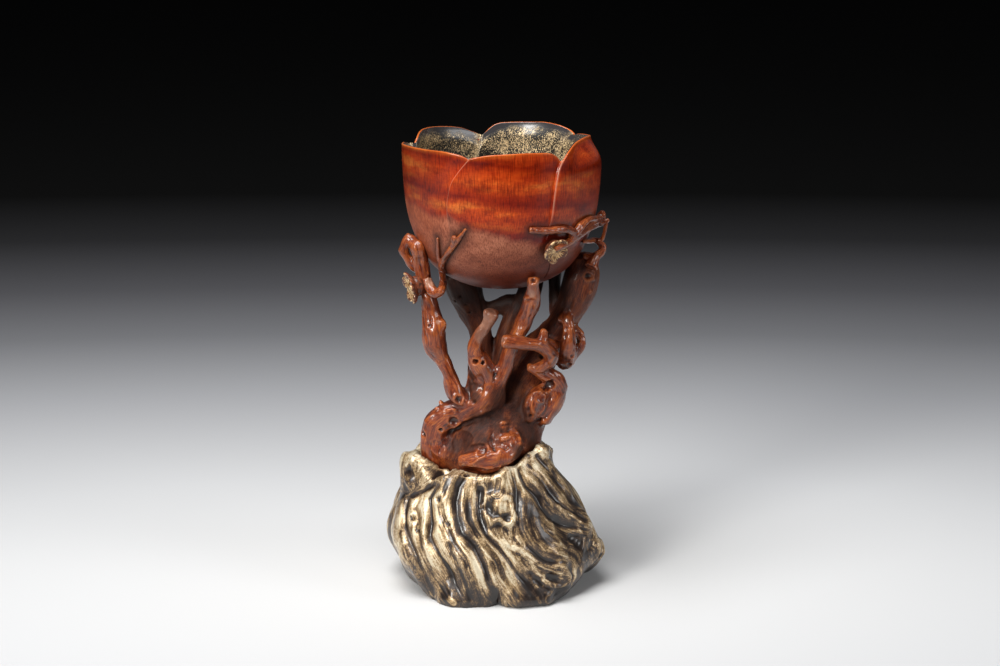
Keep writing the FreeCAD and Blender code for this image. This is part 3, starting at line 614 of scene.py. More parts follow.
# Raised ridges and cut creases of the front: the line, its width and its height or depth.
RIDGES = (
    (((441, 434), (447, 429), (456, 425), (467, 419), (482, 412), (499, 405)), 0.9, 0.9),
    (((444, 438), (452, 431), (462, 426), (476, 419), (492, 412), (501, 407)), 1.1, -1.3),
    (
        ((468, 449), (472, 444), (480, 442), (487, 444), (489, 449), (485, 456), (476, 462), (466, 466)),
        0.7, 0.9,
    ),
    (((466, 466), (474, 466), (486, 468), (498, 467), (508, 462)), 0.8, 0.7),
    (((512, 427), (518, 434), (520, 443), (515, 452), (508, 460)), 0.9, 1),
    (((516, 426), (523, 435), (524, 446), (518, 456)), 0.8, -0.8),
    (((493, 428), (491, 438), (494, 449), (500, 457)), 0.7, -0.9),
    (((500, 430), (503, 432), (508, 431), (511, 427)), 0.6, -0.7),
    (((503, 421), (504, 425)), 2, 1.3), (((505, 436), (506, 441)), 2.2, 1.4),
    (((498, 446), (505, 449), (511, 446)), 0.6, -0.6),
    (((510, 380), (507, 395), (503, 410), (497, 424)), 1.2, -0.5),
    (((524, 378), (527, 395), (526, 412), (520, 424)), 1.4, -0.5),
    (
        ((531, 396), (535, 392), (541, 392), (545, 396), (544, 402), (539, 403), (535, 400), (538, 397)),
        0.6, 0.7,
    ),
    (((529, 399), (528, 408), (530, 417), (537, 421), (546, 418), (551, 408)), 0.8, -1.2),
    (((533, 404), (533, 411), (538, 415), (543, 411), (545, 404)), 0.7, 0.6),
    (((496, 371), (495, 377), (494, 384)), 0.8, -1), (((480, 372), (482, 386), (481, 398)), 0.8, -0.5),
    (((470, 372), (468, 386), (470, 400), (478, 408)), 1, -0.5),
    (((421, 298), (423, 314), (424, 330), (428, 344)), 0.7, -0.7),
    (((428, 303), (431, 316), (433, 330)), 0.6, -0.5), (((418, 306), (420, 322), (421, 336)), 0.5, 0.5),
    (((424, 246), (427, 262), (428, 276)), 0.6, 0.5), (((418, 244), (420, 262), (424, 280)), 0.6, -0.6),
    (((521, 301), (527, 298), (533, 296), (539, 299)), 0.7, 0.8),
    (((521, 304), (527, 301), (533, 300), (539, 303)), 0.6, -0.6),
    (((533, 302), (532, 312), (528, 325)), 0.7, -0.5), (((510, 352), (506, 366), (500, 378)), 0.8, -0.5),
    (((528, 303), (524, 318), (519, 332)), 0.6, -0.4),
    (((583, 270), (589, 268), (594, 272), (593, 279), (587, 281), (583, 277)), 0.7, 0.8),
    (((578, 290), (570, 306), (562, 322)), 0.9, -0.5), (((588, 290), (580, 305), (572, 318)), 0.9, 0.4),
    (((566, 300), (558, 316), (553, 332)), 0.9, -0.4), (((567, 322), (566, 334), (564, 346)), 0.7, -0.7),
    (((573, 328), (574, 340), (573, 352)), 0.7, -0.9), (((548, 350), (553, 357), (549, 365)), 0.7, 0.5),
    (((536, 371), (548, 377), (560, 384)), 0.7, -0.5), (((428, 436), (430, 450), (435, 464)), 1.2, -0.5),
    (((425, 425), (432, 416), (442, 411)), 0.8, 0.5), (((446, 412), (452, 409), (457, 412)), 0.7, 0.7),
    (((434, 360), (443, 375), (451, 388)), 0.7, 0.4), (((540, 415), (546, 424), (552, 428)), 0.9, 0.6),
)
# Knots of the back and the sides: the angle from the right, the height, and the sizes again.
BACK_KNOTS = (
    (60, 62, 2.2, 1.6, 0.7), (95, 75, 1.6, 1.8, 0.5), (130, 60, 3, 2, 0.6), (150, 78, 1.4, 1.2, 0.4),
    (35, 80, 2, 1.4, 0.6), (110, 100, 1.2, 1.6, 0.4), (80, 112, 1.1, 1.3, 0.4), (20, 66, 2.4, 1.6, 0.6),
    (170, 66, 1.6, 1.3, 0.5), (120, 122, 1.3, 1.4, 0.4), (10, 118, 1.8, 1.2, 0.6), (45, 126, 1.5, 1.4, 0.5),
    (100, 54, 2.6, 1.4, 0.6), (200, 70, 1.4, 1, 0.4), (70, 90, 1.3, 1.5, 0.4), (345, 100, 1.4, 1.2, 0.4),
)
# Wood that fills the corners between the limbs: place in the picture, how far behind the
# cup's axis, and radius.
FILLS = (
    (
        (478, 355, -16, 4.4), (484, 367, -16, 4.4), (490, 379, -15.5, 4.6), (494, 390, -15, 4.8),
        (492, 401, -13, 5), (484, 410, -11, 5),
    ),
    ((480, 362, -12, 3.4), (478.5, 374, -12, 4.6), (478, 386, -12, 5), (480, 398, -12, 5.6)),
    ((433, 432, -8, 5), (438, 442, -9, 6.5), (447, 450, -9, 7.2), (458, 452, -9, 7.4), (472, 450, -8, 7)),
    ((444, 434, -5, 6), (456, 438, -4, 7.5), (470, 432, -4, 8.5), (486, 424, -3, 8.5)),
    (
        (537, 396, -11, 4), (540, 405, -10, 4.8), (539, 414, -8, 4.8), (533, 424, -6, 4.4),
        (524, 434, -6, 4.2),
    ),
    ((505, 400, -6, 8), (510, 415, -6, 9), (508, 430, -6, 10)),
)
# Pale places: where the picture shows them, and how far they reach.
PALE_ENDS = (
    (488, 313, 5), (487, 325, 5), (484, 336, 4.5), (503, 340, 1.6), (438, 322, 1.2), (531, 293, 2.4),
)
# Places of the foot and the trunk painted duller and darker, partly as unpolished wood and partly
# as painted shade from the root and the cup above them, and how far they reach; and the
# polished knots that stand in them.
DULL_AND_SHADED_PLACES = (
    (470, 430, 7), (480, 420, 8), (492, 412, 8), (502, 398, 9), (512, 384, 8), (516, 402, 8), (522, 416, 8),
    (472, 374, 4), (471, 386, 5), (475, 397, 4), (553, 284, 5), (550, 296, 4), (528, 430, 7), (533, 440, 6),
    (466, 444, 6), (456, 446, 5), (500, 424, 6), (519, 452, 6), (480, 440, 5),
)
POLISHED_PLACES = (
    (505, 438, 3.4), (488, 452, 4.2), (498, 460, 4.6), (480, 462, 4.4), (518, 441, 2.2), (503, 425, 2.2),
)
# the limbs behind and the trunk are painted darker, the limbs behind as painted shade
LIMB_SHADE_TONES = {
    "root_trunk": 0.55,
    "back_left_limb": 0.48,
    "back_mid_limb": 0.45,
    "back_bridge": 0.3,
    "right_prong": 0.5,
}
FIRST_GRAIN = 0.9
ROOT_GRAIN = 0.45
ROOT_SPLIT = 88.0
LIP_SHARE = 0.6
DULL_AND_SHADED_TONE, POLISHED_TONE = 0.30, 0.9


def through(marks, steps=12):
    """Points of a smooth curve through these marks."""
    marks = np.array(marks, float)
    padded = np.vstack([2 * marks[0] - marks[1], marks, 2 * marks[-1] - marks[-2]])
    share = np.linspace(0, 1, steps, endpoint=False)[:, None]
    runs = [
        0.5 * (2 * b + (c - a) * share + (2 * a - 5 * b + 4 * c - d) * share ** 2
               + (3 * b - a - 3 * c + d) * share ** 3)
        for a, b, c, d in zip(padded, padded[1:], padded[2:], padded[3:])
    ]
    return np.vstack(runs + [marks[-1:]])


def at_depth(x, y, depth):
    """The place that the camera sees at x, y of the picture, this far behind the cup's axis."""
    way = np.array(sight(x, y))
    start = np.array(CAMERA_PLACE) / MM
    return start + way * (depth - start[1]) / way[1]


def strands(name, lines):
    """Round strands, each through marks with a place and a radius in millimetres."""
    curve = bpy.data.curves.new(name, "CURVE")
    curve.dimensions = "3D"
    curve.bevel_depth = MM
    curve.bevel_resolution = 3
    curve.use_fill_caps = True
    for marks in lines:
        spline = curve.splines.new("POLY")
        spline.points.add(len(marks) - 1)
        for point, mark in zip(spline.points, marks):
            point.co = (*(mark[:3] * MM), 1)
            point.radius = mark[3]
    tubes = shown(name, curve)
    graph = bpy.context.evaluated_depsgraph_get()
    form = bmesh.new()
    form.from_mesh(bpy.data.meshes.new_from_object(tubes.evaluated_get(graph)))
    bpy.data.objects.remove(tubes)
    return placed(name, form)


form = joined(cad(*ROOT_NODES))
fills = strands("fills", [
    through([(*at_depth(x, y, depth), radius) for x, y, depth, radius in marks], 6) for marks in FILLS
])
form.from_mesh(fills.data)
bpy.data.objects.remove(fills)
root = placed("root", form)
work = Carving(blended(root, FIRST_GRAIN))
work.soften(5)
work.grow(0.22)
work = Carving(blended(root, ROOT_GRAIN))
count = len(work.points)

# Each point belongs to the limb whose surface is nearest, and its grain runs along that limb.
faces, owners, corners, axes = [], [], [], []
for turn, (node, shares) in enumerate(LIMB_LINES.items()):
    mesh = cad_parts[node].data
    start = len(corners)
    corners += [vertex.co / MM for vertex in mesh.vertices]
    faces += [[start + corner for corner in face.vertices] for face in mesh.polygons]
    owners += [turn] * len(mesh.polygons)
    marks = [on_stem(*share) for share in shares]
    axis, run = [], 0.0
    for low, high in zip(marks, marks[1:]):
        length = (high - low).length
        steps = max(int(length), 2)
        for share in (step / steps for step in range(steps)):
            axis.append((*low.lerp(high, share), *((high - low) / length), run + length * share))
        run += length
    axes.append(np.array(axis))
limbs = BVHTree.FromPolygons(corners, faces)
owner = np.array([owners[limbs.find_nearest(point)[2]] for point in work.points])
grain = np.zeros((count, 3))
for turn, axis in enumerate(axes):
    mine = np.nonzero(owner == turn)[0]
    for part in np.array_split(mine, len(mine) // 4000 + 1):
        if not len(part):
            continue
        gaps = work.points[part][:, None] - axis[None, :, :3]
        best = np.argmin((gaps ** 2).sum(2), axis=1)
        gap = gaps[np.arange(len(part)), best]
        way = axis[best, 3:6]
        front = np.cross(way, (0.3, 1.0, 0.1))
        front /= np.linalg.norm(front, axis=1)[:, None]
        side = np.cross(front, way)
        length = axis[best, 6] + (gap * way).sum(1)
        own_grain = np.stack([(gap * front).sum(1), (gap * side).sum(1), length], axis=1)
        grain[part] = own_grain + (17 * turn, 0, 31 * turn)

swell = pattern(grain, 3.8, 3.8, 26.0)
strand = 1 - 2.2 * np.abs(pattern(grain, 1.7, 1.7, 18.0))
lumps = pattern(work.points, 4.5, 4.5, 6.0)
bulk = np.where(owner == 0, 0.6, 1.0)
form = work.softened(3, bulk * (0.42 * swell + 0.13 * strand) + 0.34 * lumps)
hole = np.zeros(count)
work.knots(form, hole, KNOTS, LIP_SHARE)
for angle, height, radius, depth, lip in BACK_KNOTS:
    middle = work.outermost(outward(angle), height, middle=3)
    if middle is not None:
        work.notch(form, hole, middle, radius, depth, lip * LIP_SHARE)
work.ridges(form, RIDGES)
# Sawn ends and weathered wood are paler; the limbs behind and the trunk's middle are painted
# duller and darker, partly as painted shade.
pale = work.within(PALE_ENDS, 2.5)
tones = np.array([LIMB_SHADE_TONES.get(node, 1.0) for node in LIMB_LINES])
tone = work.softened(40, tones[owner])
for places, target in ((DULL_AND_SHADED_PLACES, DULL_AND_SHADED_TONE), (POLISHED_PLACES, POLISHED_TONE)):
    tone += (target - tone) * work.within(places, 1.6)
# painted shadow of the cup: the limbs are painted dark where they reach under it, all but
# the one in front, in the same mask as the holes
under = np.nonzero((work.points[:, 2] > 98) & (work.points[:, 1] > -17))[0]
x, y, _ = work.points[under].T
cup_shadow = 0.8 * smooth((26 - gaps_to(cad("petal_cup"), work.points[under], 28)) / 20)
hole[under] = np.maximum(hole[under], cup_shadow * smooth((y + 14) / 9) * smooth((37 - x) / 8))
work.grow(form)
keep(root, relief=work.relief(14), hole=hole, grain=grain, pale=pale, tone=tone)


def half(name, piece, height, upper):
    """The part of a piece above or below a height, closed where it is cut."""
    form = bmesh.new()
    form.from_mesh(piece.data)
    bmesh.ops.bisect_plane(
        form, geom=form.verts[:] + form.edges[:] + form.faces[:], plane_co=(0, 0, height * MM),
        plane_no=(0, 0, 1), clear_inner=upper, clear_outer=not upper,
    )
    edges = [edge for edge in form.edges if edge.is_boundary]
    for face in bmesh.ops.holes_fill(form, edges=edges)["faces"]:
        face.smooth = False
        for edge in face.edges:
            edge.smooth = False
    return placed(name, form)


root_foot = half("root_foot", root, ROOT_SPLIT, False)
root_limbs = half("root_limbs", root, ROOT_SPLIT, True)
bpy.data.objects.remove(root)

# Its wood: red brown streaks along the grain, brighter on the crests as rubbed wear and painted
# highlight, darker in the creases, the holes and under the cup as painted shade, duller and darker
# in the middle of the trunk and the limbs behind, partly as painted shade, and polished everywhere else.
add, join = finish_of(
    "polished_root_wood", root_foot, root_limbs, Coat_Roughness=0.08, Specular_IOR_Level=0.3,
)
wood = root_foot.data.materials[0]
runs = add(ATTRIBUTE, attribute_name="grain", out="Vector")
spots = add(PLACES, out="Object")
raised, whiten, shade, holes_and_shade = (
    add(ATTRIBUTE, attribute_name=name, out="Fac") for name in ("relief", "pale", "tone", "hole")
)
streaks, fibres, clouds = (
    add(NOISE, {
        0: add(MAPPING, {0: source, "Scale": cells}), "Scale": 1.0, "Detail": detail, "Roughness": rough,
    })
    for source, cells, detail, rough in (
        (runs, (1.5, 1.5, 0.10), 5.0, 0.6), (runs, (4.5, 4.5, 0.22), 3.0, 0.5),
        (spots, (130, 130, 130), 4.0, 0.6),
    )
)
mixed = add(MATH, {0: add(MATH, {0: streaks, 1: clouds}), 1: fibres})
share = add(MATH, {0: mixed, 1: 1 / 3}, operation="MULTIPLY")
skin = add(RAMP, {0: share}, {0.38: "#30100a", 0.46: "#682816", 0.53: "#944220", 0.60: "#c06a2e"})
# painted highlight with rubbed wear on the crests, painted shade in the creases
crest = add(SPAN, {0: raised, 1: 0.03, 2: 0.32, 4: 0.75})
cut = add(SPAN, {0: raised, 1: -0.04, 2: -0.34, 4: 0.9})
aged = add(MATH, {0: whiten, 1: 0.75}, operation="MULTIPLY")
weathered = add(RAMP, {0: clouds}, {0.38: "#8a5c48", 0.6: "#b98a72"})
# painted shade with dull wood: the dull places and the limbs behind go dark
dull_and_shaded = add(SPAN, {0: shade, 1: 0.30, 2: 1.0, 3: 0.9, 4: 0.0})
dull_shaded_colour = add(RAMP, {0: share}, {0.38: "#1a0b07", 0.60: "#4c2a1e"})
for amount, colour in (
    (crest, "#c46a34"), (cut, "#2c120b"), (aged, weathered), (dull_and_shaded, dull_shaded_colour), (holes_and_shade, "#180a06"),
):
    skin = add(MIX, {0: amount, "A": skin, "B": colour}, **COVER)
join(skin, "Base Color")
rough = add(SPAN, {0: clouds, 1: 0.35, 2: 0.65, 3: 0.30, 4: 0.44})
for amount in (dull_and_shaded, whiten):
    rough = add(MATH, {0: amount, 1: 0.3, 2: rough}, operation="MULTIPLY_ADD")
join(rough, "Roughness")
join(add(SPAN, {0: dull_and_shaded, 2: 0.7, 3: 0.85, 4: 0.0}), "Coat Weight")
join(add(BUMP, {"Height": share, "Strength": 0.4, "Distance": 0.0006}), "Normal")
for piece, nodes in (
    (root_foot, ["root_trunk", "left_root", "root_burr", "knot_stump"]),
    (root_limbs, [node for node in ROOT_NODES if node not in ("left_root", "root_burr")]),
):
    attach(piece, "cup")
    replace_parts(piece, *nodes)


# The cup: the wall is carved from bamboo as five petals, each lying over the next one round
# the cup, and finished with amber and red lacquer.  The rim is worn to bright orange.
CUP_MIDDLE = 2.0
CUP_BOTTOM = SEAT + STEM + 1.8
CUP_HEIGHT = 64.5
CUP_TOP = CUP_BOTTOM + CUP_HEIGHT
# The bowl's outline from the middle of its bottom: shares of its width and of its height.
BOWL_SHARES = (
    (0, 0), (0.33, 0.02), (0.6, 0.1), (0.77, 0.21), (0.88, 0.36), (0.95, 0.53), (0.985, 0.74), (1, 1),
)
# Each petal's free edge on the outside, and the edge that shows inside: height and angle.
OUTER_EDGES = (
    (
        (195.5, 250.9), (190.2, 244.9), (185.3, 240.4), (179.2, 237.8), (172.8, 236.4), (166, 237),
        (150, 240), (134, 245),
    ),
    (
        (194.3, 305.8), (190.6, 303.3), (186.4, 302), (181.4, 301), (175.5, 300.4), (169.6, 299.8),
        (150, 297), (134, 290),
    ),
    ((195.8, 400), (191, 396), (186, 394), (180, 393), (170, 392), (150, 394), (134, 398)),
    ((193.5, 462.5), (190, 457), (185, 453.5), (178, 451.5), (168, 451), (150, 453), (134, 457)),
    ((194, 526), (190, 520), (185, 516.5), (178, 514), (168, 513.5), (150, 516), (134, 520)),
)
INNER_EDGES = (
    ((195.5, 250.9), (190, 256), (184, 259), (175, 261), (150, 259), (134, 256)),
    ((194.3, 305.8), (190, 311), (184, 314), (175, 316), (150, 314), (134, 310)),
    (
        (195.8, 400), (194.7, 402.5), (193, 405), (190.6, 407.5), (187.8, 409), (185.5, 410), (175, 411),
        (150, 409), (134, 406),
    ),
    ((193.5, 462.5), (189.1, 464.5), (183.7, 466.4), (175, 468), (150, 466), (134, 464)),
    ((194, 526), (189, 530), (184, 532.5), (175, 534), (150, 532), (134, 529)),
)
# The rim of each petal: angle, height, and how far it leans in over the cup.
RIMS = (
    (
        (250.9, 195.3, 0.3), (253, 196.4, 0.3), (257.7, 197.1, 0.3), (263, 197.7, 0.4), (272, 198.1, 0.5),
        (283, 198.4, 0.5), (294.8, 198.1, 0.5), (299.3, 197.5, 0.4), (303.2, 196, 0.3), (305.8, 194.1, 0.3),
    ),
    (
        (305.8, 194.1, 0.3), (309.5, 196.9, 0.8), (313.5, 198.6, 1.5), (320, 199.8, 3.2), (328, 200.6, 4.6),
        (340, 201, 5.2), (352, 200.4, 5.2), (370, 199, 4.8), (385, 197.9, 3.8), (393, 197.1, 2.6),
        (400, 195.8, 1.2),
    ),
    (
        (400, 195.8, 1.2), (404.5, 197.6, 0.8), (412.6, 199.2, 0.6), (423, 200, 0.5), (433, 199.7, 0.5),
        (445, 199.4, 0.5), (452, 198.9, 0.5), (457, 197.1, 0.5), (462.5, 193.4, 0.4),
    ),
    (
        (462.5, 193.4, 0.4), (466, 194.8, 0.6), (471, 196.3, 0.8), (477, 197.7, 1), (486, 198.7, 1.2),
        (498, 199.4, 1.6), (508, 199.5, 2.4), (515, 199, 3.2), (521, 197.6, 3.4), (526, 194.6, 2.6),
    ),
    (
        (526, 194.6, 2), (532, 195.9, 0.8), (540, 196.7, 0.2), (545, 196.9, 0), (559, 197.6, 0),
        (571, 198, 0), (581, 198.1, 0.1), (593, 198.2, 0.2), (600, 197.8, 0.3), (606, 196.9, 0.4),
        (610.9, 195.3, 0.4),
    ),
)
# The rows of points across one petal, closer together at its free edge.
COLUMNS = np.concatenate([[0, 0.004, 0.010, 0.018, 0.028], np.linspace(0.04, 1.0, 78)])
RIM_THICKNESS = 0.9
# How far a free edge stands off the next petal, and how far that one sinks in beside it.
OUTER_STEP, OUTER_SINK = 1.05, 0.75
INNER_STEP, INNER_SINK = 0.8, 0.15
PETAL_BULGE = 0.35

bowl = through([(CUP_RADIUS * wide, CUP_BOTTOM + CUP_HEIGHT * up) for wide, up in BOWL_SHARES], 30)
steps = np.linalg.norm(np.diff(bowl, axis=0), axis=1)
bowl_run = np.concatenate([[0], np.cumsum(steps)]) / steps.sum()
slope = np.gradient(bowl, axis=0)
slope /= np.linalg.norm(slope, axis=1)[:, None]
rims = [through(marks, 10) for marks in RIMS]


def rounded(gap):
    """The height of a petal's rounded edge at this distance from it, as a share."""
    return 0.3 + 0.7 * np.sqrt(np.clip(gap / 0.8, 0, 1))


def cup_wall(edge_tables, run, depth, inside=None, lift=0.0):
    """One layer of the petals' wall: a row for each share of the run from the middle of the
    bottom to the rim, at a depth behind the outside.  Each point has its place, how far it is
    below the rim, and how far from its petal's free edge and from the next one's."""
    level, reach = (np.interp(run, bowl_run, bowl[:, axis]) for axis in (1, 0))
    out_r = np.interp(run, bowl_run, slope[:, 1])
    out_z = -np.interp(run, bowl_run, slope[:, 0])
    edges = [through(table, 8)[::-1] for table in edge_tables]
    edges.append(edges[0] + (0, 360))
    rows = []
    for rim_marks, begin, finish in zip(rims, edges, edges[1:]):
        for column in COLUMNS:
            rim_angle = begin[-1, 1] * (1 - column) + finish[-1, 1] * column
            rim, lean = (np.interp(rim_angle, rim_marks[:, 0], rim_marks[:, axis]) for axis in (1, 2))
            z = level + (rim - lift - CUP_TOP) * smooth((level - CUP_TOP + 22) / 22)
            first, last = (np.interp(z, edge[:, 0], edge[:, 1]) for edge in (begin, finish))
            angle = np.radians(first * (1 - column) + last * column)
            width = np.radians(last - first) * reach
            from_start, from_end = width * column, width * (1 - column)
            beside = 1 - smooth(from_end / 9)
            step = OUTER_STEP * rounded(from_start) * (1 - smooth(from_start / 13)) - OUTER_SINK * beside
            if inside:
                hidden = 1 - smooth((rim - z) / 5)
                inner = INNER_SINK * (1 - smooth(from_start / 9)) - INNER_STEP * rounded(from_end) * beside
                step = step * hidden + (inner if inside == "lining" else 0) * (1 - hidden)
            step = step * smooth((z - 160) / 16)
            step = step + PETAL_BULGE * np.sin(np.pi * column) * smooth((z - 150) / 20)
            if inside == "lining":
                z = z + 0.5 * np.exp(-((np.minimum(from_start, from_end) / 1.3) ** 2)) * hidden
            r = reach + out_r * (step - depth) - lean * smooth((z - rim + 13) / 13) ** 1.4
            z = z + out_z * (step - depth)
            place = [CUP_MIDDLE + r * np.cos(angle), r * np.sin(angle), z]
            rows.append(np.stack([*place, rim - z, from_start, from_end], axis=1))
    return np.array(rows)


def shell(name, layers):
    """A closed piece whose rows of points run from the bottom's middle to the rim on the outside
    and back to the bottom's middle on the inside."""
    table = np.concatenate(layers, axis=1)
    columns, rows = table.shape[:2]
    form = bmesh.new()
    bmesh.ops.create_grid(form, x_segments=columns, y_segments=rows - 1, size=1)
    measures = [form.verts.layers.float.new(measure) for measure in ("rim", "edge", "end")]
    order = sorted(form.verts, key=lambda vert: (round(vert.co.x, 5), round(vert.co.y, 5)))
    for place, vert in enumerate(order):
        column, row = divmod(place, rows)
        values = table[column % columns, row]
        vert.co = Vector(values[:3]) * MM
        for measure, value in zip(measures, values[3:]):
            vert[measure] = value
    bmesh.ops.remove_doubles(form, verts=form.verts, dist=0.004 * MM)
    bmesh.ops.recalc_face_normals(form, faces=form.faces)
    return placed(name, form)


def even_then_fine(count):
    """Shares from 0 to 1 that lie closer together near 1."""
    return 1 - (1 - np.linspace(0, 1, count)) ** 1.25


def deeper(run, near_rim, near_bottom):
    """How much thicker the wall is below its rim and at its bottom."""
    return near_rim * smooth((1 - run) * 9) + near_bottom * smooth((0.35 - run) * 4)


HALF_RIM = RIM_THICKNESS / 2
outside = cup_wall(OUTER_EDGES, even_then_fine(100), 0.0, lift=HALF_RIM)
over_rim = [
    cup_wall(OUTER_EDGES, np.ones(1), HALF_RIM * (1 - math.cos(turn)), lift=HALF_RIM * (1 - math.sin(turn)))
    for turn in np.linspace(0, math.pi, 7)[1:-1]
]
back = even_then_fine(44)[::-1]
behind = cup_wall(OUTER_EDGES, back, RIM_THICKNESS + deeper(back, 0.9, 2.9), "shell", lift=HALF_RIM)
cup = shell("petal_cup_carved", [outside, *over_rim, behind])
# A fine crack runs down the wall below the right blossom.
CRACK = ((551, 261), (549.5, 265), (548.5, 270), (545.5, 276), (543.5, 279))
CRACK_REACH, CRACK_DEPTH, CRACK_WIDTH = 2.2, 0.45, 0.22
work = Carving(cup)
crack = work.stroke(CRACK)
near_crack = work.near(crack)[0] < CRACK_REACH
form = bmesh.new()
form.from_mesh(cup.data)
form.verts.ensure_lookup_table()
bmesh.ops.subdivide_edges(
    form, edges=[edge for edge in form.edges if all(near_crack[vert.index] for vert in edge.verts)],
    cuts=3, use_grid_fill=True,
)
form.to_mesh(cup.data)
form.free()
cup.data.shade_smooth()
work = Carving(cup)
gap, along = work.near(crack)
ends = smooth(np.minimum(along, 1 - along) / 0.12)
work.grow(-CRACK_DEPTH * ends * np.exp(-((gap / CRACK_WIDTH) ** 2)))
keep(cup, crack=0.85 * ends * np.exp(-((gap / 0.24) ** 2)))
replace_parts(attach(cup, "cup"), "petal_cup")

# Its lacquer: clear amber red in level clouds and bands above, bare brown bamboo below, with
# the fibres of the bamboo running down it.
add, join = finish_of("amber_red_lacquer_on_bamboo", cup, Coat_Roughness=0.08, Specular_IOR_Level=0.22)
spots = add(PLACES, out="Object")
across, up = (add(SPLIT, {0: spots}, out=axis) for axis in "XZ")
fibres, patches, blots, wander = (
    add(NOISE, {
        0: add(MAPPING, {0: spots, "Scale": cells}), "Scale": 1.0, "Detail": detail, "Roughness": rough,
    })
    for cells, detail, rough in (
        ((2300, 2300, 150), 3.0, 0.6), ((28, 28, 110), 5.0, 0.65), ((120, 120, 160), 5.0, 0.7),
        ((55, 55, 55), 4.0, 0.5),
    )
)
height = add(MATH, {0: up, 1: 1000.0}, operation="MULTIPLY")
# the line where the glossy coat ends runs lower on the right than on the left
coat_line, band_line, under_line = (
    add(MATH, {0: across, 1: lean, 2: height}, operation="MULTIPLY_ADD") for lean in (270.0, 120.0, -190.0)
)
level = add(MATH, {0: wander, 1: 12.0, 2: coat_line}, operation="MULTIPLY_ADD")
coated = add(SPAN, {0: level, 1: 167.6, 2: 171.2})
upper = add(RAMP, {0: patches}, {0.30: "#a63a1a", 0.42: "#ce5220", 0.54: "#ea6e2c", 0.66: "#ffa652"})
calm = add(MATH, {0: wander, 1: 5.0, 2: band_line}, operation="MULTIPLY_ADD")
bands = add(RAMP, {0: add(SPAN, {0: calm, 1: 161.5, 2: 206.5})}, {
    0.10: "#9a4a30", 0.20: "#d8a48a", 0.33: "#ffecd8", 0.42: "#b87c60", 0.48: "#d0a080",
    0.58: "#fff0e0", 0.68: "#e8c0a4", 0.76: "#b07858", 0.88: "#e8c4ac",
})
spotted = add(RAMP, {0: blots}, {0.34: "#a8786a", 0.50: "#f0e0d8", 0.64: "#ffffff"})
# painted shade: the cup's left side is painted darker, above and below
from_left = add(SPAN, {0: across, 1: -0.030, 2: -0.019})
left_side_shade, low_left_side_shade = (
    add(RAMP, {0: from_left}, {0.0: shade, 1.0: "#ffffff"}) for shade in ("#cccad0", "#e8ccb4")
)
for amount, tint in ((1.0, bands), (0.8, spotted), (1.0, left_side_shade)):
    upper = add(MIX, {0: amount, "A": upper, "B": tint}, **TINT)
lower = add(RAMP, {0: blots}, {0.32: "#985c4a", 0.50: "#be7860", 0.66: "#d48e74"})
# painted shade: the bowl is painted darker towards its underside, more on the right
underside_shade = add(RAMP, {0: add(SPAN, {0: under_line, 1: 133.0, 2: 165.0})}, {
    0.0: "#7a4e42", 0.34: "#a47868", 0.80: "#ffffff",
})
for tint in (underside_shade, low_left_side_shade):
    lower = add(MIX, {0: 1.0, "A": lower, "B": tint}, **TINT)
skin = add(MIX, {0: coated, "A": lower, "B": upper}, **COVER)
hatch = add(RAMP, {0: fibres}, {0.36: "#94644c", 0.50: "#ecd6c4", 0.60: "#fff6ea"})
skin = add(MIX, {0: 0.7, "A": skin, "B": hatch}, **TINT)
below, beyond, twig_shadow_share, broken = (
    add(ATTRIBUTE, attribute_name=name, out="Fac") for name in ("rim", "edge", "grime", "crack")
)
ragged = add(MATH, {0: blots, 1: 3.0, 2: below}, operation="MULTIPLY_ADD")
rim_wear = add(RAMP, {0: add(SPAN, {0: ragged, 1: 0.5, 2: 4.5})}, {0.0: 0.9, 0.25: 0.75, 0.45: 0.2, 0.7: 0.0})
# painted highlight with wear: the petals' free edges are painted lighter high up
edge_wear_and_highlight = add(RAMP, {0: add(SPAN, {0: beyond, 1: 0.0, 2: 2.0})}, {0.0: 0.65, 0.12: 0.5, 0.35: 0.0})
high_up = add(SPAN, {0: height, 1: 162.0, 2: 176.0})
edge_wear_and_highlight = add(MATH, {0: edge_wear_and_highlight, 1: high_up}, operation="MULTIPLY")
# painted shadow, with some grime, near the twigs
twig_shadow_share = add(MATH, {0: twig_shadow_share, 1: 0.8}, operation="MULTIPLY")
for amount, colour in (
    (rim_wear, "#d8702c"), (edge_wear_and_highlight, "#c89078"), (twig_shadow_share, "#2c140c"), (broken, "#140806"),
):
    skin = add(MIX, {0: amount, "A": skin, "B": colour}, **COVER)
join(skin, "Base Color")
join(add(SPAN, {0: coated, 3: 0.06, 4: 0.36}), "Coat Weight")
polish = add(SPAN, {0: coated, 3: 0.40, 4: 0.24})
join(add(MATH, {0: fibres, 1: 0.14, 2: polish}, operation="MULTIPLY_ADD"), "Roughness")
join(add(BUMP, {"Height": fibres, "Strength": 0.14, "Distance": 0.0003}), "Normal")


# The lining: black lacquer sprinkled with gold, smooth and bare in a sloping band below the
# rim.  It is one coat that follows the petals inside the cup.
front = even_then_fine(110)[::-1]
front_depth = 1.25 + 1.35 * smooth((1 - front) * 13) + 3.1 * smooth((0.35 - front) * 4)
seen_side = cup_wall(INNER_EDGES, front, front_depth, "lining", lift=0.12)
back = even_then_fine(40)
hidden_side = cup_wall(INNER_EDGES, back, 1.0 + deeper(back, 0.9, 2.92), "shell", lift=0.3)
lining = shell("black_gold_lining", [hidden_side, seen_side])
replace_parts(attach(lining, "cup"), "cup_lining")

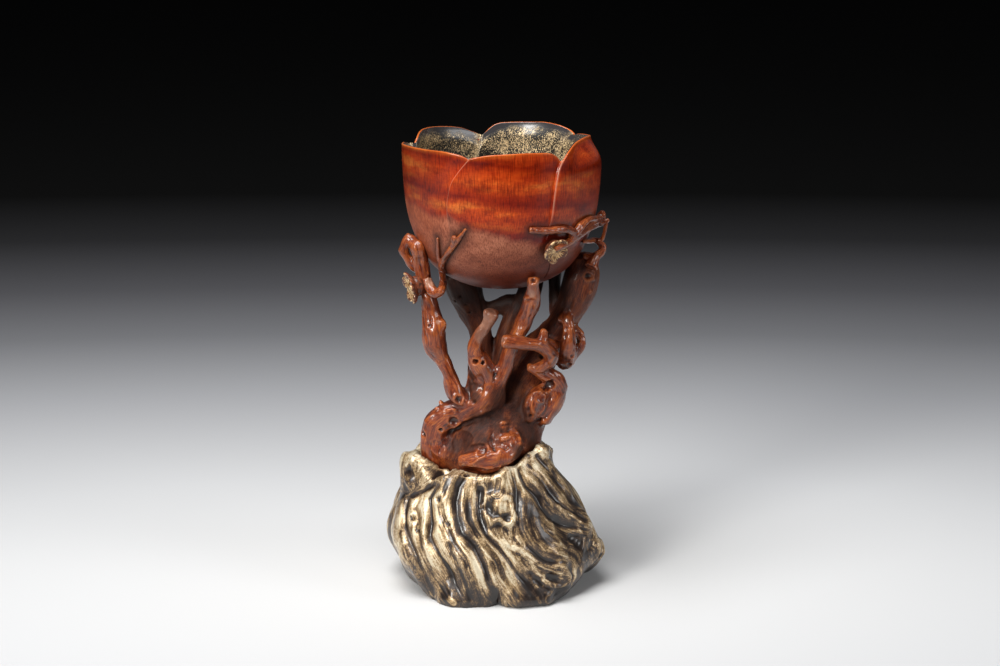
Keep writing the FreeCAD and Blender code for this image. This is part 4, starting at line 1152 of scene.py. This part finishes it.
# Its flecks: gold dust in crowds, none of it near the rim.
add, join = finish_of("black_lacquer_sprinkled_with_gold", lining, Coat_Weight=0.35, Coat_Roughness=0.12)
spots = add(PLACES, out="Object")
grains, crowds = (
    add(NOISE, {
        0: add(MAPPING, {0: spots, "Scale": cells}), "Scale": 1.0, "Detail": detail, "Roughness": rough,
    })
    for cells, detail, rough in (((2100, 2100, 1500), 5.0, 0.7), ((110, 110, 110), 4.0, 0.6))
)
below, ending, starting = (add(ATTRIBUTE, attribute_name=name, out="Fac") for name in ("rim", "end", "edge"))
crowded = add(MATH, {0: crowds, 1: 0.45, 2: grains}, operation="MULTIPLY_ADD")
inner = add(MATH, {0: crowds, 1: 7.0, 2: below}, operation="MULTIPLY_ADD")
flecked = add(SPAN, {0: inner, 1: 5.4, 2: 8.4})
sharp = add(RAMP, {0: crowded}, {0.750: 0.0, 0.795: 1.0})
scattered = add(MATH, {0: sharp, 1: flecked}, operation="MULTIPLY")
# the gold lies thick where one petal starts beside the next, and along the next one's edge it
# is painted lighter as a painted highlight of the step
thick = add(SPAN, {0: starting, 1: 4.5, 2: 0.5, 4: 0.8})
rubbed = add(SPAN, {0: ending, 1: 0.9, 2: 0.2, 4: 0.5})
either = add(MATH, {0: thick, 1: rubbed}, operation="MAXIMUM")
speckled = add(MATH, {0: either, 1: add(SPAN, {0: grains, 1: 0.38, 2: 0.52})}, operation="MULTIPLY")
share = add(MATH, {0: scattered, 1: speckled}, operation="MAXIMUM")
# painted sheen: the bare band below the rim is painted grey, the rest near black
ground = add(MIX, {0: flecked, "A": "#3b393b", "B": "#191613"}, **COVER)
gold = add(RAMP, {0: grains}, {0.42: "#8c6c48", 0.60: "#fadcaa"})
join(add(MIX, {0: share, "A": ground, "B": gold}, **COVER), "Base Color")
join(add(MATH, {0: share, 1: 0.3}, operation="MULTIPLY"), "Metallic")
join(add(SPAN, {0: flecked, 3: 0.26, 4: 0.44}), "Roughness")
join(add(BUMP, {"Height": share, "Strength": 0.5, "Distance": 0.0002}), "Normal")


# The twigs: thin branches left standing from the root's wood.  They lie against the cup, one
# with a needle and a bud at the left, and a group that forks and hooks round at the right.
def at_wall(x, y, lift):
    """The place that the camera sees at x, y of the picture, this far outside the cup's wall."""
    ways = np.array(sight(x, y)) * np.arange(940, 1090, 0.25)[:, None] + np.array(CAMERA_PLACE) / MM
    gap = np.hypot(ways[:, 0] - CUP_MIDDLE, ways[:, 1]) - np.interp(ways[:, 2], bowl[:, 1], bowl[:, 0]) - lift
    near = np.nonzero(gap < 0)[0]
    return ways[near[0] if len(near) else np.argmin(gap)]


# Each twig: where the picture shows it, how far its middle stands off the cup's wall (or, for
# the marks with 100 added, how far before the axis it is), and its radius.
TWIGS = {
    "left_twigs": (
        (
            (427, 279, 114, 2), (428.5, 284.5, 115, 2.3), (432, 290.5, 117, 2.4), (437, 293.2, 119, 2.2),
            (441.5, 290, 120.5, 1.75), (443, 282, 1.8, 1.55), (442.3, 272, 1.2, 1.45), (441.8, 264, 1, 1.4),
            (446, 256, 0.9, 1.3), (451, 249, 0.8, 1.2), (457, 241, 0.7, 1.05), (462, 234.5, 0.5, 0.8),
            (466, 229, 0.4, 0.45),
        ),
        ((441, 265, 0.8, 1), (438.8, 257, 0.6, 0.95), (438, 248, 0.5, 0.85), (437.5, 238, 0.4, 0.5)),
        ((452, 246, 0.9, 1), (453.5, 242, 1.2, 1), (454, 238.5, 1.4, 1.25), (454, 236, 1.5, 0.8)),
    ),
    "right_twigs": (
        (
            (529.5, 230.5, 0.95, 1.04), (533, 230.5, 1.15, 1.34), (545, 231, 1.25, 1.46),
            (556, 230, 1.35, 1.52), (566, 229.5, 1.35, 1.59), (572, 231.5, 1.45, 1.71),
            (574, 236, 1.55, 1.71), (570.5, 241, 1.65, 1.65), (565.5, 244, 2.5, 1.52),
            (560, 247, 3.5, 1.35), (555.5, 248.8, 3.9, 1.1),
        ),
        (
            (571, 238, 1.45, 1.59), (577, 231, 1.45, 1.83), (582, 225, 1.45, 1.59), (588, 220, 1.45, 1.22),
            (594, 218.3, 1.55, 1.16), (600, 219, 1.75, 1.22), (604, 220.5, 1.95, 1.34),
        ),
        (
            (571, 240, 1.35, 1.59), (578, 235, 1.35, 1.83), (584, 231, 1.35, 1.71),
            (590, 227.5, 1.45, 1.46), (596, 225, 1.55, 1.34), (602, 222.8, 1.85, 1.34),
            (606, 221.5, 2.05, 1.16),
        ),
        (
            (574, 240, 0.6, 1.5), (580, 232, 0.7, 1.5), (586, 226.5, 0.8, 1.4), (593, 222.5, 1, 1.3),
            (600, 220.5, 1.4, 1.2),
        ),
        ((603, 223, 1.85, 0.98), (606.5, 221, 2.15, 0.98), (608.7, 218.8, 2.35, 0.73)),
        (
            (597, 219.5, 1.65, 1.22), (600.5, 216, 2.05, 1.71), (603.5, 214.5, 2.15, 1.95),
            (605.5, 214, 2.15, 1.1),
        ),
        ((606, 223.5, 1.75, 0.92), (604.5, 232, 1.45, 0.79), (602, 240, 1.45, 0.85)),
        (
            (583, 242.3, 0.85, 0.49), (588, 241, 1.15, 1.04), (594, 240.3, 1.35, 1.22),
            (599.5, 241.5, 1.65, 1.52),
        ),
        (
            (599, 241.5, 1.65, 1.46), (602.3, 246, 1.95, 1.59), (601.5, 251.5, 2.05, 1.71),
            (596, 255.8, 1.95, 1.77), (589.5, 257, 1.65, 1.59), (584, 255.3, 1.25, 1.22),
        ),
        ((598, 253, 1.85, 1.59), (594, 260, 1.05, 2.32), (591, 267, 0.25, 2.93)),
    ),
}
TWIG_NODES = {
    "left_twigs": ["left_twig", "twig_spur"],
    "right_twigs": ["upper_twig", "middle_twig", "lower_twig", "link_twig", "hook_twig", "twig_bud"],
}
TWIG_GRAIN = 0.27
FREE_MARK, WALL_LIMIT = 100, 50
for name, lines in TWIGS.items():
    ways = [
        through([
            (*(at_wall(x, y, lift) if lift < WALL_LIMIT else at_depth(x, y, FREE_MARK - lift)), radius)
            for x, y, lift, radius in marks
        ], 8)
        for marks in lines
    ]
    piece = blended(strands(name, ways), TWIG_GRAIN)
    work = Carving(piece)
    work.soften(2)
    count = len(work.points)
    nearest = np.full(count, UNREACHED)
    grain = np.zeros((count, 3))
    for turn, way in enumerate(ways):
        gap, along = work.near(way[:, :3])
        length = np.linalg.norm(np.diff(way[:, :3], axis=0), axis=1).sum()
        middle = np.stack([
            np.interp(along, np.linspace(0, 1, len(way)), way[:, axis]) for axis in range(3)
        ], axis=1)
        mine = gap < nearest
        nearest[mine] = gap[mine]
        off = work.points - middle
        grain[mine] = np.stack([off[:, 0] + 9 * turn, off[:, 2], along * length], axis=1)[mine]
    bumps = 0.12 * pattern(grain, 0.9, 0.9, 8.0) + 0.08 * pattern(work.points, 1.6, 1.6, 1.6)
    work.grow(0.1 + bumps)
    end = np.linalg.norm(work.points - np.array(at_depth(429, 282.5, -16)), axis=1)
    sawn = smooth((3.6 - end) / 1.4) * smooth(work.normals @ (0.55, -0.4, 0.6) * 2)
    # the relief is raised so that the wood's lighter crests, partly painted highlight, show on the twigs
    keep(
        piece, relief=work.relief(8) * 1.7, hole=np.zeros(count), grain=grain, tone=np.ones(count), pale=sawn,
    )
    piece.data.materials.append(wood)
    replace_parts(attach(piece, "cup"), *TWIG_NODES[name])


# The blossoms: two plum blossoms of five cupped petals, carved from the same wood and gilded
# on the face, each with a ring of gilt stamens.
BLOSSOM_GRAIN = 0.24
STAMENS = 17
STAMEN_HEAD = 0.30


def blossom(name, middle, facing, petal, turn):
    """Five petals on a calyx that face this way, and the stamens over them."""
    facing = Vector(facing).normalized()
    place = Matrix.Translation(middle) @ facing.to_track_quat("Z", "Y").to_matrix().to_4x4()
    leaves = [Matrix.Rotation(math.tau * leaf / 5 + turn, 4, "Z") for leaf in range(5)]
    cupped = (
        Matrix.Translation((petal * 1.10, 0, petal * 0.42)) @ Matrix.Rotation(-0.45, 4, "Y")
        @ Matrix.Diagonal((petal * 1.12, petal * 1.02, petal * 0.42, 1))
    )
    calyx = (
        Matrix.Translation((0, 0, -petal * 0.2)) @ Matrix.Diagonal((petal * 1.3, petal * 1.3, petal * 1.15, 1))
    )
    form = bmesh.new()
    for ball in [leaf @ cupped for leaf in leaves] + [calyx]:
        bmesh.ops.create_uvsphere(
            form, u_segments=28, v_segments=16, radius=1, matrix=Matrix.Scale(MM, 4) @ place @ ball,
        )
    piece = blended(placed(name, form), BLOSSOM_GRAIN)
    work = Carving(piece)
    work.soften(2)
    back = np.array(place.inverted())
    own = work.points @ back[:3, :3].T + back[:3, 3]
    front = smooth((work.normals @ np.array(facing) - 0.05) / 0.4)
    reach, angle = np.hypot(own[:, 0], own[:, 1]), np.arctan2(own[:, 1], own[:, 0])
    shape = 0.05 * pattern(own, 0.8, 0.8, 0.8)
    for leaf in leaves:
        heart = leaf @ Vector((petal * 1.10, 0, 0))
        gap = np.hypot(own[:, 0] - heart.x, own[:, 1] - heart.y)
        shape -= front * petal * 0.20 * np.exp(-((gap / (0.62 * petal)) ** 2))
        shape += front * 0.16 * np.exp(-(((gap - 0.86 * petal) / 0.35) ** 2)) * (reach > petal)
    rays = 0.5 + 0.5 * np.cos(angle * 27 + 0.6 * np.sin(reach * 2.0))
    fan = smooth((reach - 0.5) / 0.5) * (1 - smooth((reach - petal * 1.35) / (petal * 0.25)))
    shape += front * fan * 0.24 * (rays - 0.5)
    shape -= 0.25 * front * np.exp(-((reach / 0.9) ** 2))
    work.grow(shape)
    keep(piece, front=front, rays=front * fan * rays, relief=work.relief(6))
    lines, heads = [], bmesh.new()
    for pin in range(STAMENS):
        angle = math.tau * pin / STAMENS + 0.12 * math.sin(pin * 5)
        end = petal * (1.28 + 0.16 * math.sin(pin * 3.1))
        marks = [
            (
                *(place @ Vector((math.cos(angle) * share * end, math.sin(angle) * share * end, height))),
                radius,
            )
            for share, height, radius in (
                (0.15, 0.50 * petal, 0.20), (0.55, 0.52 * petal, 0.17), (1.0, 0.66 * petal, 0.14),
            )
        ]
        lines.append(through(marks, 4))
        bmesh.ops.create_icosphere(
            heads, subdivisions=2, radius=STAMEN_HEAD * MM,
            matrix=Matrix.Translation(Vector(marks[-1][:3]) * MM),
        )
    pins = strands(f"{name}_pins", lines)
    heads.from_mesh(pins.data)
    bpy.data.objects.remove(pins)
    return piece, placed(f"{name}_stamens", heads)


right_middle = Vector(at_wall(553.5, 248.5, 0.9))
right_facing = Vector((right_middle.x - CUP_MIDDLE, right_middle.y, -16)).normalized()
left_middle = Vector(at_depth(415.0, 286.5, -14))
flowers, crowns = [], []
for name, node, middle, facing, petal, turn in (
    ("left_plum_blossom", "left_blossom", left_middle, (-0.94, -0.30, -0.24), 3.5, 0.3),
    ("right_plum_blossom", "right_blossom", right_middle, right_facing, 2.95, 0.9),
):
    flower, stamens = blossom(name, middle, facing, petal, turn)
    flowers.append(flower)
    crowns.append(stamens)
    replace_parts(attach(flower, "cup"), node)
    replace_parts(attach(stamens, "cup"), node.replace("blossom", "stamens"))

# Their gilding: leaf on the face, left on the crests and the rays, and brown wood behind.
add, join = finish_of("wood_with_rubbed_gilding", *flowers, Coat_Weight=0.2)
front, raised, lined = (
    add(ATTRIBUTE, attribute_name=name, out="Fac") for name in ("front", "relief", "rays")
)
blots = add(NOISE, {0: add(PLACES, out="Object"), "Scale": 700.0, "Detail": 4.0})
crest = add(SPAN, {0: raised, 1: -0.10, 2: 0.12})
rubbed = blots
for part, weight in ((crest, 0.45), (lined, 0.5)):
    rubbed = add(MATH, {0: part, 1: weight, 2: rubbed}, operation="MULTIPLY_ADD")
share = add(MATH, {0: add(SPAN, {0: rubbed, 1: 0.72, 2: 1.0}), 1: front}, operation="MULTIPLY")
timber = add(RAMP, {0: blots}, {0.35: "#3c1c10", 0.62: "#8a4628"})
leaf = add(RAMP, {0: blots}, {0.3: "#bc783c", 0.62: "#ffdca4"})
join(add(MIX, {0: share, "A": timber, "B": leaf}, **COVER), "Base Color")
join(add(MATH, {0: share, 1: 0.4}, operation="MULTIPLY"), "Metallic")
join(add(SPAN, {0: share, 3: 0.42, 4: 0.28}), "Roughness")
# The stamens' gilding is whole.
add, join = finish_of("gilt", *crowns, Metallic=0.5, Roughness=0.3)
blots = add(NOISE, {0: add(PLACES, out="Object"), "Scale": 900.0, "Detail": 3.0})
join(add(RAMP, {0: blots}, {0.35: "#c07c40", 0.6: "#ffdca4"}), "Base Color")


# Painted shadow, with some grime, darkens the wall in the narrow places round the twigs.
TWIG_SHADOW_REACH = 6
points = read(cup.data.vertices, "co", 3) / MM
grime = np.zeros(len(points))
low_front = np.nonzero((points[:, 2] < 172) & (points[:, 1] < 10))[0]
beside = [bpy.data.objects[name].data for name in ("left_twigs", "right_twigs", "right_plum_blossom")]
gap = gaps_to(beside, points[low_front], TWIG_SHADOW_REACH)
grime[low_front] = np.where(gap < TWIG_SHADOW_REACH, np.exp(-((gap / 2.4) ** 2)), 0)
keep(cup, grime=grime)


# The pegs that hold the cup down on its limbs are bare bamboo, out of sight in their holes.
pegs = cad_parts["cup_pegs"]
add, join = finish_of("bare_bamboo", pegs, Roughness=0.6)
stretch = add(MAPPING, {0: add(PLACES, out="Object"), "Scale": (2500, 2500, 200)})
fibres = add(NOISE, {0: stretch, "Scale": 1.0, "Detail": 2.0})
join(add(RAMP, {0: fibres}, {0.35: "#a8854e", 0.65: "#cdb07a"}), "Base Color")


# The studio: a pale paper sweep painted darker with distance as painted falloff of the light,
# and soft boxes above and beside.
sweep = bmesh.new()
bmesh.ops.create_grid(sweep, x_segments=2, y_segments=2, size=8)
floor = placed("paper_sweep", sweep)
floor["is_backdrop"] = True
add, join = finish_of("paper", floor, Roughness=0.9, Specular_IOR_Level=0.0)
spots = add(PLACES, out="Object")
across, deep = (add(SPLIT, {0: spots}, out=axis) for axis in "XY")
sideways = add(MATH, {0: across, 1: 0.5}, operation="MULTIPLY")
squares = [add(MATH, {0: part, 1: 2.0}, operation="POWER") for part in (sideways, deep)]
far = add(MATH, {0: add(MATH, {0: squares[0], 1: squares[1]})}, operation="SQRT")
shade = add(RAMP, {0: far}, {
    0.0: "#e8e8e8", 0.16: "#d2d3d5", 0.33: "#acadb1", 0.48: "#7f8084", 0.62: "#5e5e62", 0.80: "#363638",
    1.0: "#1a1a1a",
})
# what the camera and gloss see of it is pale, and less of its light comes back to the object
camera_ray = add("ShaderNodeLightPath", out="Is Camera Ray")
glossy_ray = camera_ray.node.outputs["Is Glossy Ray"]
seen = add(MATH, {0: camera_ray, 1: glossy_ray}, operation="MAXIMUM")
dimmed = add(MIX, {0: 0.8, "A": shade, "B": "#3a3a3c"}, **COVER)
join(add(MIX, {0: seen, "A": dimmed, "B": shade}, **COVER), "Base Color")

for name, place, energy, side, shade in (
    ("top_box", (-0.25, -0.30, 1.25), 16.0, 0.75, "#ffffff"),
    ("left_box", (-0.80, -1.10, 0.68), 14.5, 0.45, "#fffdf8"),
    ("right_box", (1.0, -0.45, 0.50), 3.2, 0.45, "#ffffff"),
):
    lamp = bpy.data.lights.new(name, "AREA")
    lamp.energy = energy
    lamp.size = side
    lamp.color = linear(shade)[:3]
    box = shown(name, lamp)
    box.location = place
    box.rotation_euler = (Vector((0, 0, 0.1)) - Vector(place)).to_track_quat("-Z", "Y").to_euler()
world = bpy.data.worlds.new("studio")
bpy.context.scene.world = world
world.use_nodes = True
world.node_tree.nodes["Background"].inputs["Color"].default_value = linear("#9a9ca0")
world.node_tree.nodes["Background"].inputs["Strength"].default_value = 0.2
bpy.context.scene.view_settings.view_transform = "Standard"

low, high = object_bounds()
{"cad": [list(corner) for corner in cad_box], "visual": [list(low), list(high)]}
